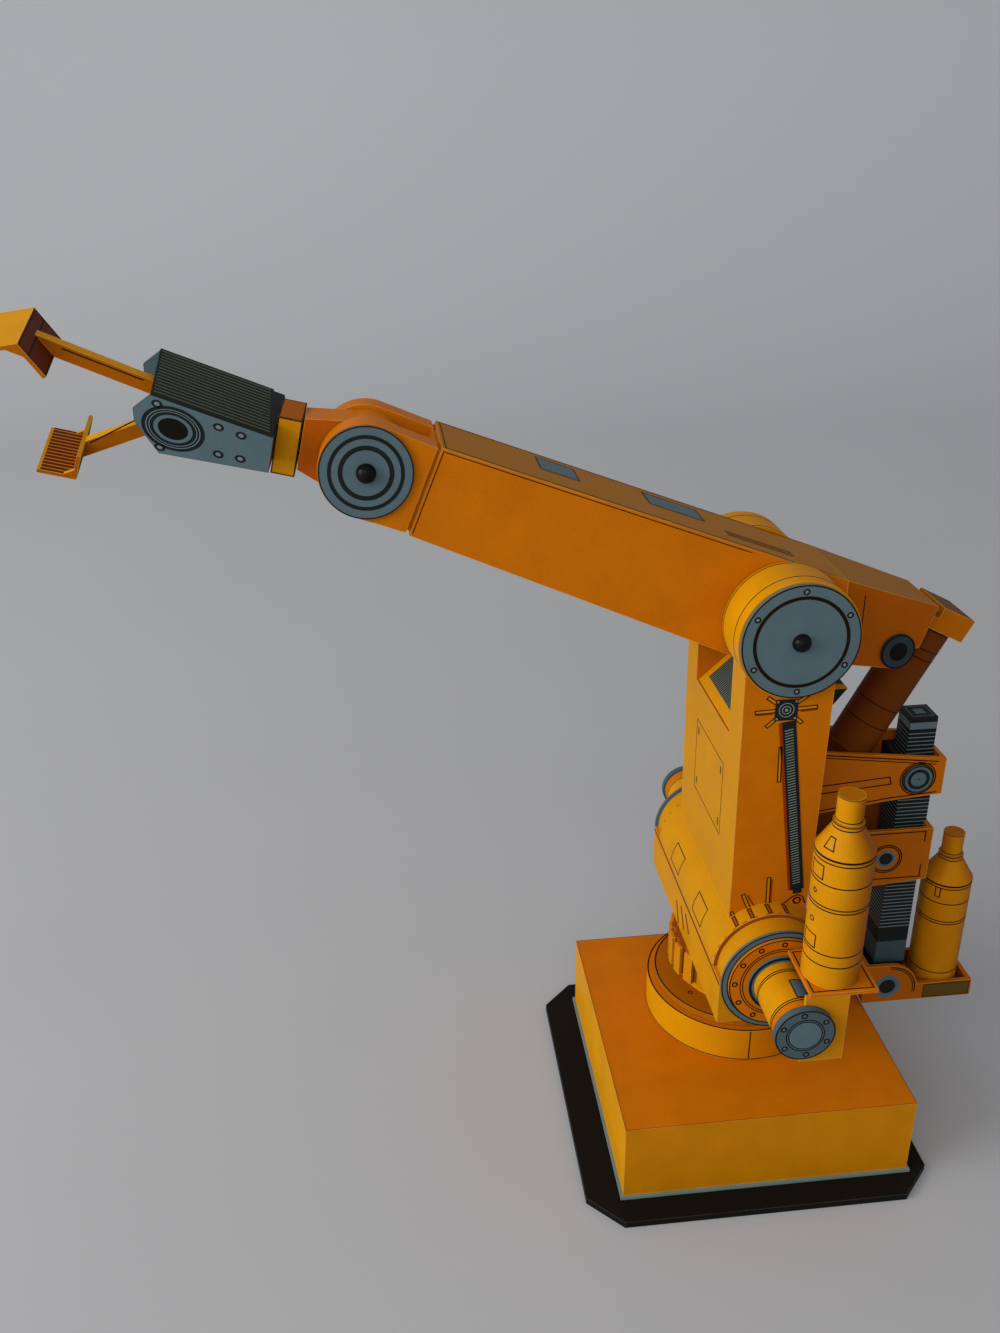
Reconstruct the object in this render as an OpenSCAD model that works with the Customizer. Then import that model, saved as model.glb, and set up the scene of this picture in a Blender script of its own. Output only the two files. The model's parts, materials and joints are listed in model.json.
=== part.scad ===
// Card model of an industrial robot arm on a square pedestal, in millimetres.
// +X points forward to the gripper, +Y to the side of the drive motor, +Z up.
// The origin lies on the waist axis at the underside of the base plate.

/* [Base] */
// Side of the octagonal base plate
plate_w = 96; // [90:1:110]
// Thickness of the base plate
plate_t = 2; // [1:0.5:4]
// Corner cut of the base plate
plate_cut = 9; // [5:0.5:14]
// Forward shift of the base plate under the box
plate_shift = 2; // [0:0.5:4]
// Side of the thin foot strip around the box
skirt_w = 81.6; // [81:0.2:84]
// Height of the thin foot strip
skirt_t = 0.8; // [0.5:0.1:2]
// Side of the square base box
base_w = 80; // [76:1:81]
// Height of the base box
base_h = 23.8; // [18:0.5:30]
// Forward offset of the base box from the waist axis
base_x = 1.7; // [0:0.1:4]
// Sideways offset of the base box from the waist axis
base_y = 6.6; // [0:0.2:8]

/* [Turntable] */
// Radius of the fixed turntable drum
drum_r = 25.4; // [24:0.2:27]
// Height of the fixed turntable drum
drum_h = 10.5; // [8:0.5:14]
// Running gap under the turning disc
waist_gap = 0.4; // [0.3:0.1:1]
// Radius of the turning disc
disc_r = 23.3; // [21:0.2:24]
// Thickness of the turning disc
disc_t = 1.6; // [1:0.2:3]
// Radius of the waist stub under the disc
waist_stub_r = 5; // [3:0.5:8]
// Length of the waist stub under the disc
waist_stub_l = 6; // [3:0.5:7]
// Radius of the collar on the disc
collar_r = 16; // [14:0.2:18]
// Height of the collar
collar_h = 4; // [2:0.5:6]
// Radius of the ribbed boss over its ribs
boss_r = 19.6; // [18:0.2:21]
// Height of the ribbed boss
boss_h = 9.5; // [7:0.5:12]
// Depth of the ribs on the boss
rib_depth = 1.6; // [0.8:0.2:2.4]
// Number of ribs on the boss
rib_count = 24; // [18:1:30]
// Width of each rib
rib_w = 3; // [2:0.2:3.6]

/* [Shoulder] */
// Forward offset of the shoulder axis
shoulder_x = 1; // [-1:0.1:2]
// Height of the shoulder axis over the boss
shoulder_rise = 13.1; // [11:0.1:15]
// Radius of the shoulder drum
shoulder_r = 15.4; // [14:0.1:16.5]
// Length of the shoulder housing across the arm
housing_w = 75; // [70:1:80]
// Length of the stepped ends of the shoulder drum
rim_l = 6.5; // [4:0.5:9]
// Step from the shoulder drum down to its ends
rim_step = 1.2; // [0.6:0.1:2]
// Radius of the pale flange ring
flange_r = 15.2; // [14:0.1:15.8]
// Thickness of each flange ring
flange_t = 0.8; // [0.5:0.1:1.5]
// Radius of the ring that carries the bolts
bolt_ring_r = 13.4; // [12.5:0.1:14]
// Radius of the pale ring around the motor
motor_ring_r = 8.4; // [8:0.1:9.5]
// Radius of the shoulder motor
motor_r = 7; // [6:0.1:7.6]
// Length of the shoulder motor
motor_l = 17; // [14:0.5:20]
// Radius of the motor cap
cap_r = 7.6; // [7.6:0.1:8.4]
// Thickness of the motor cap
cap_t = 2; // [1:0.2:4]
// Number of flats around the motor cap
cap_flats = 24; // [16:1:32]
// Radius of the drum on the far flange
far_drum_r = 7; // [6:0.1:7.6]
// Length of the drum on the far flange
far_drum_l = 19; // [16:0.5:22]
// Radius of the disc on the far drum
far_disc_r = 7.6; // [7.6:0.1:8.4]
// Thickness of the disc on the far drum
far_disc_t = 2; // [1:0.2:4]

/* [Upright] */
// Forward offset of the upright
upright_x = 1; // [0:0.1:2]
// Width of the upright across the arm
upright_w = 52; // [48:0.5:56]
// Depth of the upright at the shoulder
upright_d_low = 20.6; // [18:0.2:22]
// Depth of the upright at the elbow
upright_d_high = 22.8; // [21:0.2:25]
// Height of the elbow axis over the shoulder axis
elbow_rise = 91.1; // [86:0.5:98]
// Width of the slot for the forearm
slot_w = 32; // [30:0.5:36]
// Depth of the slot below the elbow axis
slot_depth = 29.5; // [27:0.5:33]
// Cut of the upright's cheeks below the elbow axis
upright_cut = 6; // [4:0.5:10]

/* [Elbow] */
// Radius of the elbow drums
elbow_drum_r = 15; // [14:0.1:16]
// Gap between an elbow drum and the forearm
elbow_gap = 0.4; // [0.3:0.1:1]
// Reach of the elbow drums beyond the upright's cheeks
elbow_proud = 1; // [0.5:0.1:3]
// Radius of the elbow discs
elbow_disc_r = 14.5; // [13:0.1:15]
// Thickness of the elbow discs
elbow_disc_t = 1; // [0.6:0.1:2]
// Radius of the pivot pins
pin_r = 1.4; // [1:0.1:1.8]
// Radius of the ball heads of the pivot pins
pin_head_r = 2.3; // [2:0.1:2.8]
// Running clearance around a pivot pin
pin_gap = 0.3; // [0.2:0.05:0.5]
// Clearance between pieces that are seated on each other
seat_gap = 0.2; // [0.1:0.05:0.4]
// Height of the bellows above the slot floor
bellows_h = 10.5; // [8:0.5:11]
// Slope of the bellows' front sheet
bellows_slope = 43; // [35:1:60]
// Setback of the bellows from the upright's front
bellows_front = 0.6; // [0.3:0.1:3]
// Overhang of the bellows behind the upright
bellows_back = 8; // [5:0.5:10]

/* [Screw drive] */
// Half width of the lever, bracket and tray
drive_half = 8.4; // [8:0.1:9.4]
// Wall thickness of the folded card parts
wall = 1.2; // [0.8:0.1:1.6]
// Distance of the screw column behind the waist axis
screw_x = 46; // [44:0.5:49]
// Side of the lower screw column
screw_w = 9.2; // [8:0.2:10]
// Side of the upper screw column
screw_top_w = 7.6; // [6:0.2:8]
// Height of the upper screw column's top
screw_top_z = 121.4; // [117:0.2:126]
// Distance of the lever's rear end behind the waist axis
lever_end = 51.6; // [51.4:0.1:56]
// Height of the lever's top at the upright
lever_root_top = 115.9; // [114:0.1:118]
// Height of the lever's underside at the upright
lever_root_low = 95.3; // [93:0.1:97]
// Height of the lever's top at its rear end
lever_end_top = 111; // [109:0.1:113]
// Height of the lever's underside at its rear end
lever_end_low = 100; // [98:0.1:100.4]
// Drop of the lever's underside in front of the screw
lever_knee = 1.2; // [0.8:0.1:2]
// Height of the lever's inner floor
lever_floor_z = 101; // [100.6:0.1:103]
// Height of the lever's pivot
lever_pivot_z = 105.3; // [104.5:0.1:106]
// Distance of the lever's pivot behind the waist axis
lever_pivot_x = 44.2; // [43.5:0.1:46]
// Height of the nut in the lever
nut_h = 8; // [5:0.5:9]
// Reach of the nut in front of the screw
nut_front = 2; // [1:0.2:4]
// Radius of the pivot discs on the lever
pivot_disc_r = 4.2; // [3.5:0.1:4.6]
// Thickness of the pivot discs
pivot_disc_t = 0.6; // [0.4:0.1:1]
// Distance of the bracket's rear end behind the waist axis
bracket_end = 51.2; // [50.8:0.1:55]
// Height of the bracket's top
bracket_top = 88.8; // [86:0.1:91]
// Height of the bracket's underside at the rear
bracket_low = 72; // [70:0.1:74]
// Distance of the tray's front behind the waist axis
tray_front = 37.6; // [36:0.1:39]
// Distance of the tray's rear end behind the waist axis
tray_end = 71; // [70.8:0.2:75]
// Clear height of the tray over the base box
tray_lift = 1.7; // [1:0.1:4]
// Height of the tray's low rear walls
tray_low_h = 5.6; // [4:0.2:8]
// Height of the tray's tall bearing walls
tray_tall_h = 13.2; // [11:0.2:16]
// Distance of the bearing walls' round corner behind the waist axis
lobe_x = 45; // [43:0.2:47]
// Radius of the bearing walls' round corner
lobe_r = 9; // [7:0.2:10]

/* [Motors] */
// Thickness of the motor shelf
shelf_t = 1; // [0.8:0.1:1.6]
// Height of the shelf's top over the shoulder axis
shelf_rise = 10.8; // [9.8:0.1:13]
// Front edge of the shelf behind the waist axis
shelf_front = 0; // [-1:0.1:0.6]
// Rear edge of the shelf behind the waist axis
shelf_rear = 17; // [16:0.1:19]
// Reach of the shelf out from the flange rings
shelf_l = 17.1; // [16.4:0.1:20]
// Drop of the plate below the shelf
shelf_plate_h = 20; // [16:0.5:24]
// Width of the plate below the shelf
shelf_plate_w = 11; // [9:0.5:13]
// Rim of the shelf beyond the side motor
shelf_rim = 1; // [0.3:0.1:1.5]
// Radius of the side motor's body
side_motor_r = 7.1; // [6.8:0.1:7.4]
// Forward set of the side motor from the shelf's middle
side_motor_set = 0.9; // [0:0.1:1]
// Radius of the tray motor's body
tray_motor_r = 7; // [6:0.1:7.1]
// Distance of the tray motor behind the waist axis
tray_motor_x = 62.3; // [62:0.1:63]
// Height of the side motor
bottle_h = 51; // [46:0.2:56]
// Height of the tray motor
tray_motor_h = 52; // [46:0.2:56]
// Height of the motor's neck
neck_h = 6.9; // [6:0.1:9]
// Radius of the side motor's neck
side_neck_r = 3.2; // [2.6:0.1:3.6]
// Radius of the tray motor's neck
tray_neck_r = 2.9; // [2.4:0.1:3.4]
// Height of the band under the neck
band_h = 1.4; // [1:0.1:3]
// Step from the neck out to the band under it
band_step = 0.5; // [0.2:0.1:1]
// Height of the motor's cone
cone_h = 6; // [5:0.1:9]

/* [Forearm] */
// Upward tilt of the forearm
forearm_tilt = 22.6; // [18:0.1:26]
// Width of the forearm
forearm_w = 26.6; // [24:0.2:28]
// Distance of the wrist axis from the elbow axis
wrist_u = 107.6; // [100:0.2:116]
// Distance of the wrist axis ahead of the forearm box
wrist_reach = 14.1; // [13.4:0.1:16]
// Top of the forearm at its front end over the axis
front_up = 11.1; // [10:0.1:12]
// Underside of the forearm at its front end below the axis
front_down = 10.7; // [10:0.1:12]
// Top of the forearm at its rear end over the axis
rear_up = 14.6; // [14:0.1:15.4]
// Underside of the forearm below the elbow
rear_down = 13.3; // [12:0.1:14]
// Distance of the forearm box's rear end behind the elbow
rear_x = 16; // [15:0.2:18]
// Distance of the link pivot behind the elbow
link_pivot_x = 31.9; // [30:0.1:34]
// Drop of the link pivot below the elbow axis
link_pivot_drop = 11.6; // [10.5:0.1:13]
// Distance of the rear ears' tips behind the elbow
ear_tip_x = 42.2; // [40:0.1:44]
// Drop of the rear ears' tips below the elbow axis
ear_tip_drop = 0.7; // [0:0.1:2]
// Forward rake of the rear ears' end edge
ear_rake = 4; // [2:0.1:6]
// Width over the rear ears at their tips
ear_tip_w = 18.8; // [18.4:0.1:20]
// Thickness of the rear ears
ear_t = 1.2; // [0.8:0.1:1.3]
// Radius of the dark rings around the link pivot
link_ring_r = 4.7; // [3.5:0.1:5]
// Rim of the rear ears around the dark rings
link_rim = 0.3; // [0.2:0.1:1]
// Thickness of the dark rings around the link pivot
link_ring_t = 0.8; // [0.5:0.1:1.2]

/* [Rear link] */
// Backward lean of the link tube
link_lean = 27; // [24:0.5:30]
// Distance of the link tube behind its pivot
link_offset = 10.6; // [10:0.1:12]
// Radius of the link tube
link_r = 6.2; // [5.4:0.1:6.4]
// Reach of the link tube below its pivot
link_drop = 31; // [28:0.5:32]
// Height of the link head's underside over its pivot
head_low = 8.1; // [7.4:0.1:9]
// Thickness of the link head
head_t = 6.4; // [5.4:0.1:7]
// Thickness of the link head's front under the ears' roof
head_front_t = 3.3; // [2.4:0.1:3.6]
// Distance of the link head's step behind its pivot
head_step = 7.4; // [7.2:0.1:9]
// Width of the link head
head_w = 14.8; // [14:0.1:15.2]
// Reach of the link head behind its pivot
head_back = 17; // [16:0.1:19]
// Reach of the link head in front of its pivot
head_front = 4; // [4:0.1:5]
// Radius of the link's pivot hub
link_hub_r = 4; // [3.2:0.1:4.4]
// Width of the link's pivot hub
link_hub_w = 16.6; // [15:0.1:17]

/* [Wrist] */
// Radius of the wrist ears
wrist_ear_r = 10.9; // [10.8:0.1:12]
// Thickness of the wrist ears
wrist_ear_t = 7; // [5:0.1:8]
// Step from the forearm box down to the wrist ears
wrist_step = 0.4; // [0.2:0.1:1]
// Width of the groove between the forearm box and the wrist ears
groove_w = 0.9; // [0.5:0.1:1.5]
// Depth of that groove
groove_d = 0.9; // [0.5:0.1:1.2]
// Radius of the wrist discs
wrist_disc_r = 10.6; // [9.6:0.1:10.8]
// Thickness of the wrist discs
wrist_disc_t = 0.9; // [0.6:0.1:1.5]
// Radius of the tongue around the wrist pin
tongue_r = 9.8; // [8.5:0.1:10.4]
// Side play of the tongue between the wrist ears
tongue_gap = 0.5; // [0.3:0.1:1]
// Height of the tongue's end over the forearm line
tongue_up = 5; // [4:0.1:5.4]
// Depth of the tongue's end below the forearm line
tongue_down = 6.8; // [6:0.1:8]
// Distance of the flange block's middle from the wrist axis
block_u = 18; // [17:0.1:20]
// Drop of the flange block's middle below the forearm line
block_drop = 2.1; // [1:0.1:3]
// Forward lean of the flange block
block_lean = 9; // [0:0.5:12]
// Thickness of the flange block
block_t = 5.5; // [4.5:0.1:7]
// Width of the flange block
block_w = 10.8; // [9:0.2:12]
// Height of the flange block
block_h = 14; // [13:0.1:16]

/* [Gripper] */
// Roll of the gripper about the forearm line
grip_roll = -10; // [-16:1:0]
// Height of the gripper's top over the forearm line
grip_w = 2.3; // [1:0.1:4]
// Width over the gripper plates
grip_y = 25.4; // [24:0.2:28]
// Forward set of the far gripper plate
grip_skew = 2.8; // [0:0.1:4]
// Thickness of the gripper plates
grip_plate_t = 1; // [0.8:0.1:1.4]
// Length of the gripper plates over their nose
grip_l = 30; // [28:0.2:32]
// Length of the ribbed cover
cover_l = 27.2; // [26:0.1:27.6]
// Depth of the nose's upper corner below the cover's top
nose_top = 4.4; // [3.6:0.1:5.4]
// Depth of the nose's lower corner below the cover's top
nose_low = 7.2; // [6:0.1:8.4]
// Set of the nose's lower corner behind the upper one
nose_rake = 1; // [0:0.1:2]
// Distance of the plates' lowest corner from the gripper's rear
heel_u = 22.3; // [20:0.1:24]
// Depth of the plates' lowest corner below the cover's top
heel_h = 12.6; // [11.6:0.1:14]
// Height of the gripper plates at the rear
grip_rear_h = 8.4; // [8:0.1:10]
// Length of the solid rear part between the plates
grip_core_l = 9; // [6:0.2:11]
// Thickness of the ribbed cover
cover_t = 1; // [0.8:0.1:1.2]
// Thickness of the cover's sheet over the gripper plates
cover_sheet = 0.4; // [0.3:0.1:0.6]
// Distance of the jaw pivot from the gripper's rear
jaw_u = 22.2; // [21:0.1:23]
// Depth of the jaw pivot below the cover's top
jaw_drop = 5.9; // [5.6:0.1:6.6]

/* [Jaws] */
// Angle of the upper jaw from the gripper line
upper_angle = 4.8; // [0:0.2:6]
// Angle of the lower jaw from the gripper line
lower_angle = -39; // [-44:0.5:-34]
// Distance of the upper jaw's fold from the jaw pivot
upper_len = 34.6; // [32:0.2:38]
// Distance of the lower jaw's fold from the jaw pivot
lower_len = 25.6; // [24:0.2:28]
// Run of the upper jaw's back plate along its arm
upper_back = 7.2; // [5:0.1:9]
// Run of the lower jaw's back plate along its arm
lower_back = 3.6; // [2.5:0.1:6]
// Run of a jaw's pad along its arm
pad_run = 7; // [6:0.1:8]
// Height of a jaw's fold over the line of its tips
fold_out = 4.7; // [4:0.1:5.6]
// Height of a jaw's arm
jaw_arm_h = 3.3; // [2.6:0.1:3.4]
// Outward set of a jaw's arm from its pivot
arm_shift = 1.6; // [1:0.1:1.8]
// Thickness of a jaw's arm
jaw_arm_t = 2.8; // [2:0.1:3.2]
// Gap between the two jaw hubs
jaw_gap = 0.5; // [0.3:0.1:0.8]
// Radius of a jaw's hub
jaw_hub_r = 3.2; // [2.8:0.1:3.5]
// Width of a jaw's head
jaw_w = 21.4; // [18:0.2:23]
// Thickness of a jaw's plates
jaw_t = 0.9; // [0.6:0.1:1.2]

/* [Hidden] */
$fn = 96;
base_z = plate_t + skirt_t;
base_top = base_z + base_h;
drum_top = base_top + drum_h;
disc_z = drum_top + waist_gap;
collar_z = disc_z + disc_t;
boss_z = collar_z + collar_h;
housing_z = boss_z + boss_h;
shoulder_z = housing_z + shoulder_rise;
elbow_z = shoulder_z + elbow_rise;
flange_y = housing_w / 2;
rings_y = flange_y + 3 * flange_t;
slot_z = elbow_z - slot_depth;
elbow_drum_y = upright_w / 2 + elbow_proud;
drum_in_y = forearm_w / 2 + elbow_gap;
shelf_z = shoulder_z + shelf_rise;
shelf_y = rings_y + shelf_l;
side_motor_x = side_motor_set - (shelf_front + shelf_rear) / 2;
side_motor_y = shelf_y - side_motor_r - shelf_rim;
tray_z = base_top + tray_lift;
tray_floor = tray_z + wall;
drive_in = drive_half - wall;
screw_mid_z = lever_floor_z;
nut_l = lever_end - wall - screw_x + screw_top_w / 2 + nut_front;
forearm_l = wrist_u - wrist_reach;
wrist_in = forearm_w / 2 - wrist_ear_t;
tongue_w = 2 * (wrist_in - tongue_gap);
grip_u = block_u + block_t / 2 / cos(block_lean) + (grip_w + block_drop) * tan(block_lean);
grip_in = grip_y / 2 - grip_plate_t;
rear_rake = grip_rear_h * tan(block_lean);
jaw_yaw = atan2(grip_skew, grip_y - grip_plate_t);
pivot_bore = pin_r + pin_gap;
ear_turn = atan2((forearm_w - ear_tip_w) / 2, ear_tip_x - rear_x);

function upright_half(z) =
    (upright_d_low + (upright_d_high - upright_d_low) * (z - shoulder_z) / elbow_rise) / 2;
function upright_rear(z) = upright_x - upright_half(z);
function upright_front(z) = upright_x + upright_half(z);
function ear_top(x) =
    let (root = (rear_up - rear_x * sin(forearm_tilt)) / cos(forearm_tilt))
    root + (root + ear_tip_drop) * (x + rear_x) / (ear_tip_x - rear_x);
function block_rear(z) =
    block_u - block_t / 2 / cos(block_lean) + (z + block_drop) * tan(block_lean) - seat_gap;
function touch(p, r, side) =
    let (a = atan2(p[1], p[0]) + side * acos(r / norm(p)))
    r * [cos(a), sin(a)];
function inward(a, b) = [b[1] - a[1], a[0] - b[0]] / norm(b - a);

module across(w) {
    rotate([90, 0, 0]) linear_extrude(height = w, center = true) children();
}

module rod(r, y0, y1) {
    translate([0, y0, 0]) rotate([-90, 0, 0]) cylinder(r = r, h = y1 - y0);
}

module both_sides() {
    children();
    mirror([0, 1, 0]) children();
}

module at_shoulder() {
    translate([shoulder_x, 0, shoulder_z]) children();
}

module at_elbow() {
    translate([0, 0, elbow_z]) children();
}

module in_forearm() {
    at_elbow() rotate([0, -forearm_tilt, 0]) children();
}

module at_link() {
    at_elbow() translate([-link_pivot_x, 0, -link_pivot_drop]) children();
}

module in_link() {
    at_link() rotate([0, -link_lean, 0]) children();
}

module at_wrist() {
    in_forearm() translate([wrist_u, 0, 0]) children();
}

module in_gripper() {
    at_wrist() translate([grip_u, 0, grip_w]) rotate([grip_roll, 0, 0]) children();
}

module at_jaws() {
    in_gripper() translate([jaw_u, 0, -jaw_drop]) rotate([0, 0, jaw_yaw]) children();
}

module pin(reach) {
    rod(pin_r, -reach, reach);
    both_sides() translate([0, reach, 0]) rotate([-90, 0, 0]) rotate_extrude() intersection() {
        circle(r = pin_head_r);
        square(pin_head_r);
    }
}

module base_plate() {
    h = plate_w / 2;
    c = h - plate_cut;
    color("#16181c") translate([base_x + plate_shift, base_y, 0])
        linear_extrude(height = plate_t)
            polygon([[h, -c], [h, c], [c, h], [-c, h], [-h, c], [-h, -c], [-c, -h], [c, -h]]);
}

module base_skirt() {
    color("#7f8c86") translate([base_x - skirt_w / 2, base_y - skirt_w / 2, plate_t])
        cube([skirt_w, skirt_w, skirt_t]);
}

module base_box() {
    color("#e8a013") translate([base_x - base_w / 2, base_y - base_w / 2, base_z])
        cube([base_w, base_w, base_h]);
}

module turntable_drum() {
    color("#e8a013") translate([0, 0, base_top]) difference() {
        cylinder(r = drum_r, h = drum_h);
        translate([0, 0, drum_h - waist_stub_l - waist_gap])
            cylinder(r = waist_stub_r + pin_gap, h = drum_h);
    }
}

module turntable_disc() {
    color("#dc8f14") translate([0, 0, disc_z]) {
        cylinder(r = disc_r, h = disc_t);
        translate([0, 0, -waist_stub_l]) cylinder(r = waist_stub_r, h = waist_stub_l + disc_t);
    }
}

module turntable_collar() {
    color("#e8a013") translate([0, 0, collar_z]) cylinder(r = collar_r, h = collar_h);
}

module ribbed_boss() {
    color("#a8651a") translate([0, 0, boss_z]) {
        cylinder(r = boss_r - rib_depth, h = boss_h);
        intersection() {
            cylinder(r = boss_r, h = boss_h);
            for (i = [0 : rib_count - 1])
                rotate([0, 0, i * 360 / rib_count]) translate([0, -rib_w / 2, 0])
                    cube([boss_r, rib_w, boss_h]);
        }
    }
}

module housing_side(r) {
    difference() {
        circle(r = r);
        translate([-r, -2 * r]) square(2 * r);
    }
    translate([-shoulder_r, -shoulder_rise]) square([2 * shoulder_r, shoulder_rise]);
}

module shoulder_housing() {
    color("#e8a013") at_shoulder() {
        across(housing_w - 2 * rim_l) housing_side(shoulder_r);
        across(housing_w) housing_side(shoulder_r - rim_step);
    }
}

module flange_ring() {
    color("#8fa3ab") at_shoulder() both_sides() rod(flange_r, flange_y, flange_y + flange_t);
}

module bolt_ring() {
    color("#dc8f14") at_shoulder() both_sides()
        rod(bolt_ring_r, flange_y + flange_t, flange_y + 2 * flange_t);
}

module motor_ring() {
    color("#8fa3ab") at_shoulder() both_sides() rod(motor_ring_r, flange_y + 2 * flange_t, rings_y);
}

module shoulder_motor() {
    color("#e8a013") at_shoulder() rod(motor_r, rings_y, rings_y + motor_l);
}

module motor_cap() {
    color("#8fa3ab") at_shoulder() translate([0, rings_y + motor_l, 0]) rotate([-90, 0, 0])
        linear_extrude(height = cap_t) circle(r = cap_r, $fn = cap_flats);
}

module far_drum() {
    color("#e8a013") at_shoulder() rod(far_drum_r, -rings_y - far_drum_l, -rings_y);
}

module far_disc() {
    y0 = -rings_y - far_drum_l - far_disc_t;
    color("#8fa3ab") at_shoulder() rod(far_disc_r, y0, y0 + far_disc_t);
}

module upright() {
    zt = elbow_z - upright_cut;
    zl = shoulder_z;
    color("#e59a12") difference() {
        across(upright_w) polygon([
            [upright_front(zl), zl],
            [upright_front(zt), zt],
            [upright_rear(zt), zt],
            [upright_rear(zl), zl]]);
        translate([-upright_d_high, -slot_w / 2, slot_z])
            cube([2 * upright_d_high + upright_x, slot_w, slot_depth]);
        at_shoulder() rod(shoulder_r, -upright_w, upright_w);
        at_elbow() rod(elbow_drum_r, -upright_w, upright_w);
    }
}

module elbow_drums() {
    color("#e8a013") at_elbow() both_sides() difference() {
        rod(elbow_drum_r, drum_in_y, elbow_drum_y);
        rod(pin_r, 0, upright_w);
    }
}

module elbow_discs() {
    color("#8fa3ab") at_elbow() both_sides() difference() {
        rod(elbow_disc_r, elbow_drum_y, elbow_drum_y + elbow_disc_t);
        rod(pin_r, 0, upright_w);
    }
}

module elbow_pin() {
    color("#15161a") at_elbow() pin(elbow_drum_y + elbow_disc_t);
}

module elbow_bellows() {
    xf = upright_front(slot_z) - bellows_front;
    xr = upright_rear(slot_z);
    color("#33373a") across(slot_w - 2 * seat_gap) polygon([
        [xf, slot_z],
        [xf - bellows_h / tan(bellows_slope), slot_z + bellows_h],
        [xr - bellows_back, slot_z + bellows_h],
        [xr, slot_z]]);
}

module lever_side() {
    polygon([
        [upright_rear(lever_root_low), lever_root_low],
        [upright_rear(lever_root_top), lever_root_top],
        [-lever_end, lever_end_top],
        [-lever_end, lever_end_low],
        [-screw_x + screw_w, lever_end_low - lever_knee]]);
}

module top_lever() {
    color("#d98a16") difference() {
        across(2 * drive_half) lever_side();
        translate([-lever_end + wall, -drive_in, lever_floor_z])
            cube([lever_end, 2 * drive_in, elbow_z]);
        translate([-lever_end + wall, -drive_in, 0])
            cube([lever_end - screw_x + screw_w - wall, 2 * drive_in, elbow_z]);
        translate([0, -drive_in, 0]) cube([lever_end, 2 * drive_in, elbow_z]);
        translate([-screw_x, -drive_in, 0])
            cube([lever_end, 2 * drive_in, lever_floor_z - wall]);
    }
}

module lever_nut() {
    color("#33373a") difference() {
        translate([-lever_end + wall, -drive_in, lever_floor_z])
            cube([nut_l, 2 * drive_in, nut_h]);
        translate([-screw_x - screw_top_w / 2, -screw_top_w / 2, 0])
            cube([screw_top_w, screw_top_w, elbow_z]);
    }
}

module lever_pivots() {
    color("#8fa3ab") translate([-lever_pivot_x, 0, lever_pivot_z])
        both_sides() rod(pivot_disc_r, drive_half, drive_half + pivot_disc_t);
}

module mid_bracket() {
    color("#dc8f14") difference() {
        across(2 * drive_half) difference() {
            polygon([
                [upright_x, bracket_low - wall],
                [upright_x, bracket_top],
                [-bracket_end, bracket_top],
                [-bracket_end, bracket_low],
                [-screw_x + screw_w, bracket_low - wall]]);
            translate([shoulder_x, shoulder_z]) circle(r = shoulder_r);
            polygon([
                [upright_rear(shoulder_z), shoulder_z],
                [upright_rear(elbow_z), elbow_z],
                [elbow_z, elbow_z],
                [elbow_z, shoulder_z]]);
        }
        translate([-bracket_end + wall, -drive_in, bracket_low + wall])
            cube([bracket_end + upright_d_high, 2 * drive_in, elbow_z]);
        translate([-screw_x - screw_w / 2, -screw_w / 2, 0])
            cube([screw_w, screw_w, elbow_z]);
    }
}

module tray_side() {
    translate([-tray_end, 0]) square([tray_end - tray_front, tray_low_h]);
    translate([-lobe_x, 0]) square([lobe_x - tray_front, tray_tall_h]);
    intersection() {
        translate([-lobe_x, tray_tall_h - lobe_r]) circle(r = lobe_r);
        translate([-lobe_x - lobe_r, 0]) square([lobe_r, tray_tall_h]);
    }
}

module screw_tray() {
    color("#dc8f14") translate([0, 0, tray_z]) {
        both_sides() translate([0, drive_half - wall / 2, 0]) across(wall) tray_side();
        translate([-tray_end, -drive_half, 0]) {
            cube([tray_end - tray_front, 2 * drive_half, wall]);
            cube([wall, 2 * drive_half, tray_low_h]);
        }
        translate([-tray_front - wall, -drive_half, 0]) cube([wall, 2 * drive_half, tray_tall_h]);
    }
}

module screw_column() {
    color("#33373a") translate([-screw_x - screw_w / 2, -screw_w / 2, tray_floor])
        cube([screw_w, screw_w, screw_mid_z - tray_floor]);
}

module screw_top() {
    color("#33373a") translate([-screw_x - screw_top_w / 2, -screw_top_w / 2, screw_mid_z])
        cube([screw_top_w, screw_top_w, screw_top_z - screw_mid_z]);
}

module motor_shelf() {
    color("#dc8f14") translate([-shelf_rear, rings_y, shelf_z - shelf_t])
        cube([shelf_rear - shelf_front, shelf_l, shelf_t]);
}

module shelf_plate() {
    y0 = rings_y + motor_l - wall;
    color("#e8a013") difference() {
        translate([shoulder_x - shelf_plate_w, y0, shelf_z - shelf_t - shelf_plate_h])
            cube([shelf_plate_w, wall, shelf_plate_h]);
        at_shoulder() rod(motor_r, rings_y, rings_y + 2 * motor_l);
    }
}

module bottle(r, nr, h) {
    br = nr + band_step;
    z1 = h - neck_h;
    z2 = z1 - band_h;
    z3 = z2 - cone_h;
    rotate_extrude() polygon([[0, 0], [r, 0], [r, z3], [br, z2], [br, z1], [nr, z1],
        [nr, h], [0, h]]);
}

module side_motor() {
    color("#e8a013") translate([side_motor_x, side_motor_y, shelf_z])
        bottle(side_motor_r, side_neck_r, bottle_h);
}

module tray_motor() {
    color("#e8a013") translate([-tray_motor_x, 0, tray_floor])
        bottle(tray_motor_r, tray_neck_r, tray_motor_h);
}

module forearm_side() {
    ct = cos(forearm_tilt);
    st = sin(forearm_tilt);
    polygon([
        [forearm_l, front_up],
        [forearm_l, -front_down],
        [0, -rear_down],
        [-rear_x * ct - rear_down * st, rear_x * st - rear_down * ct],
        [-rear_x * ct + (rear_up - rear_x * st) * st / ct, rear_up]]);
}

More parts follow.
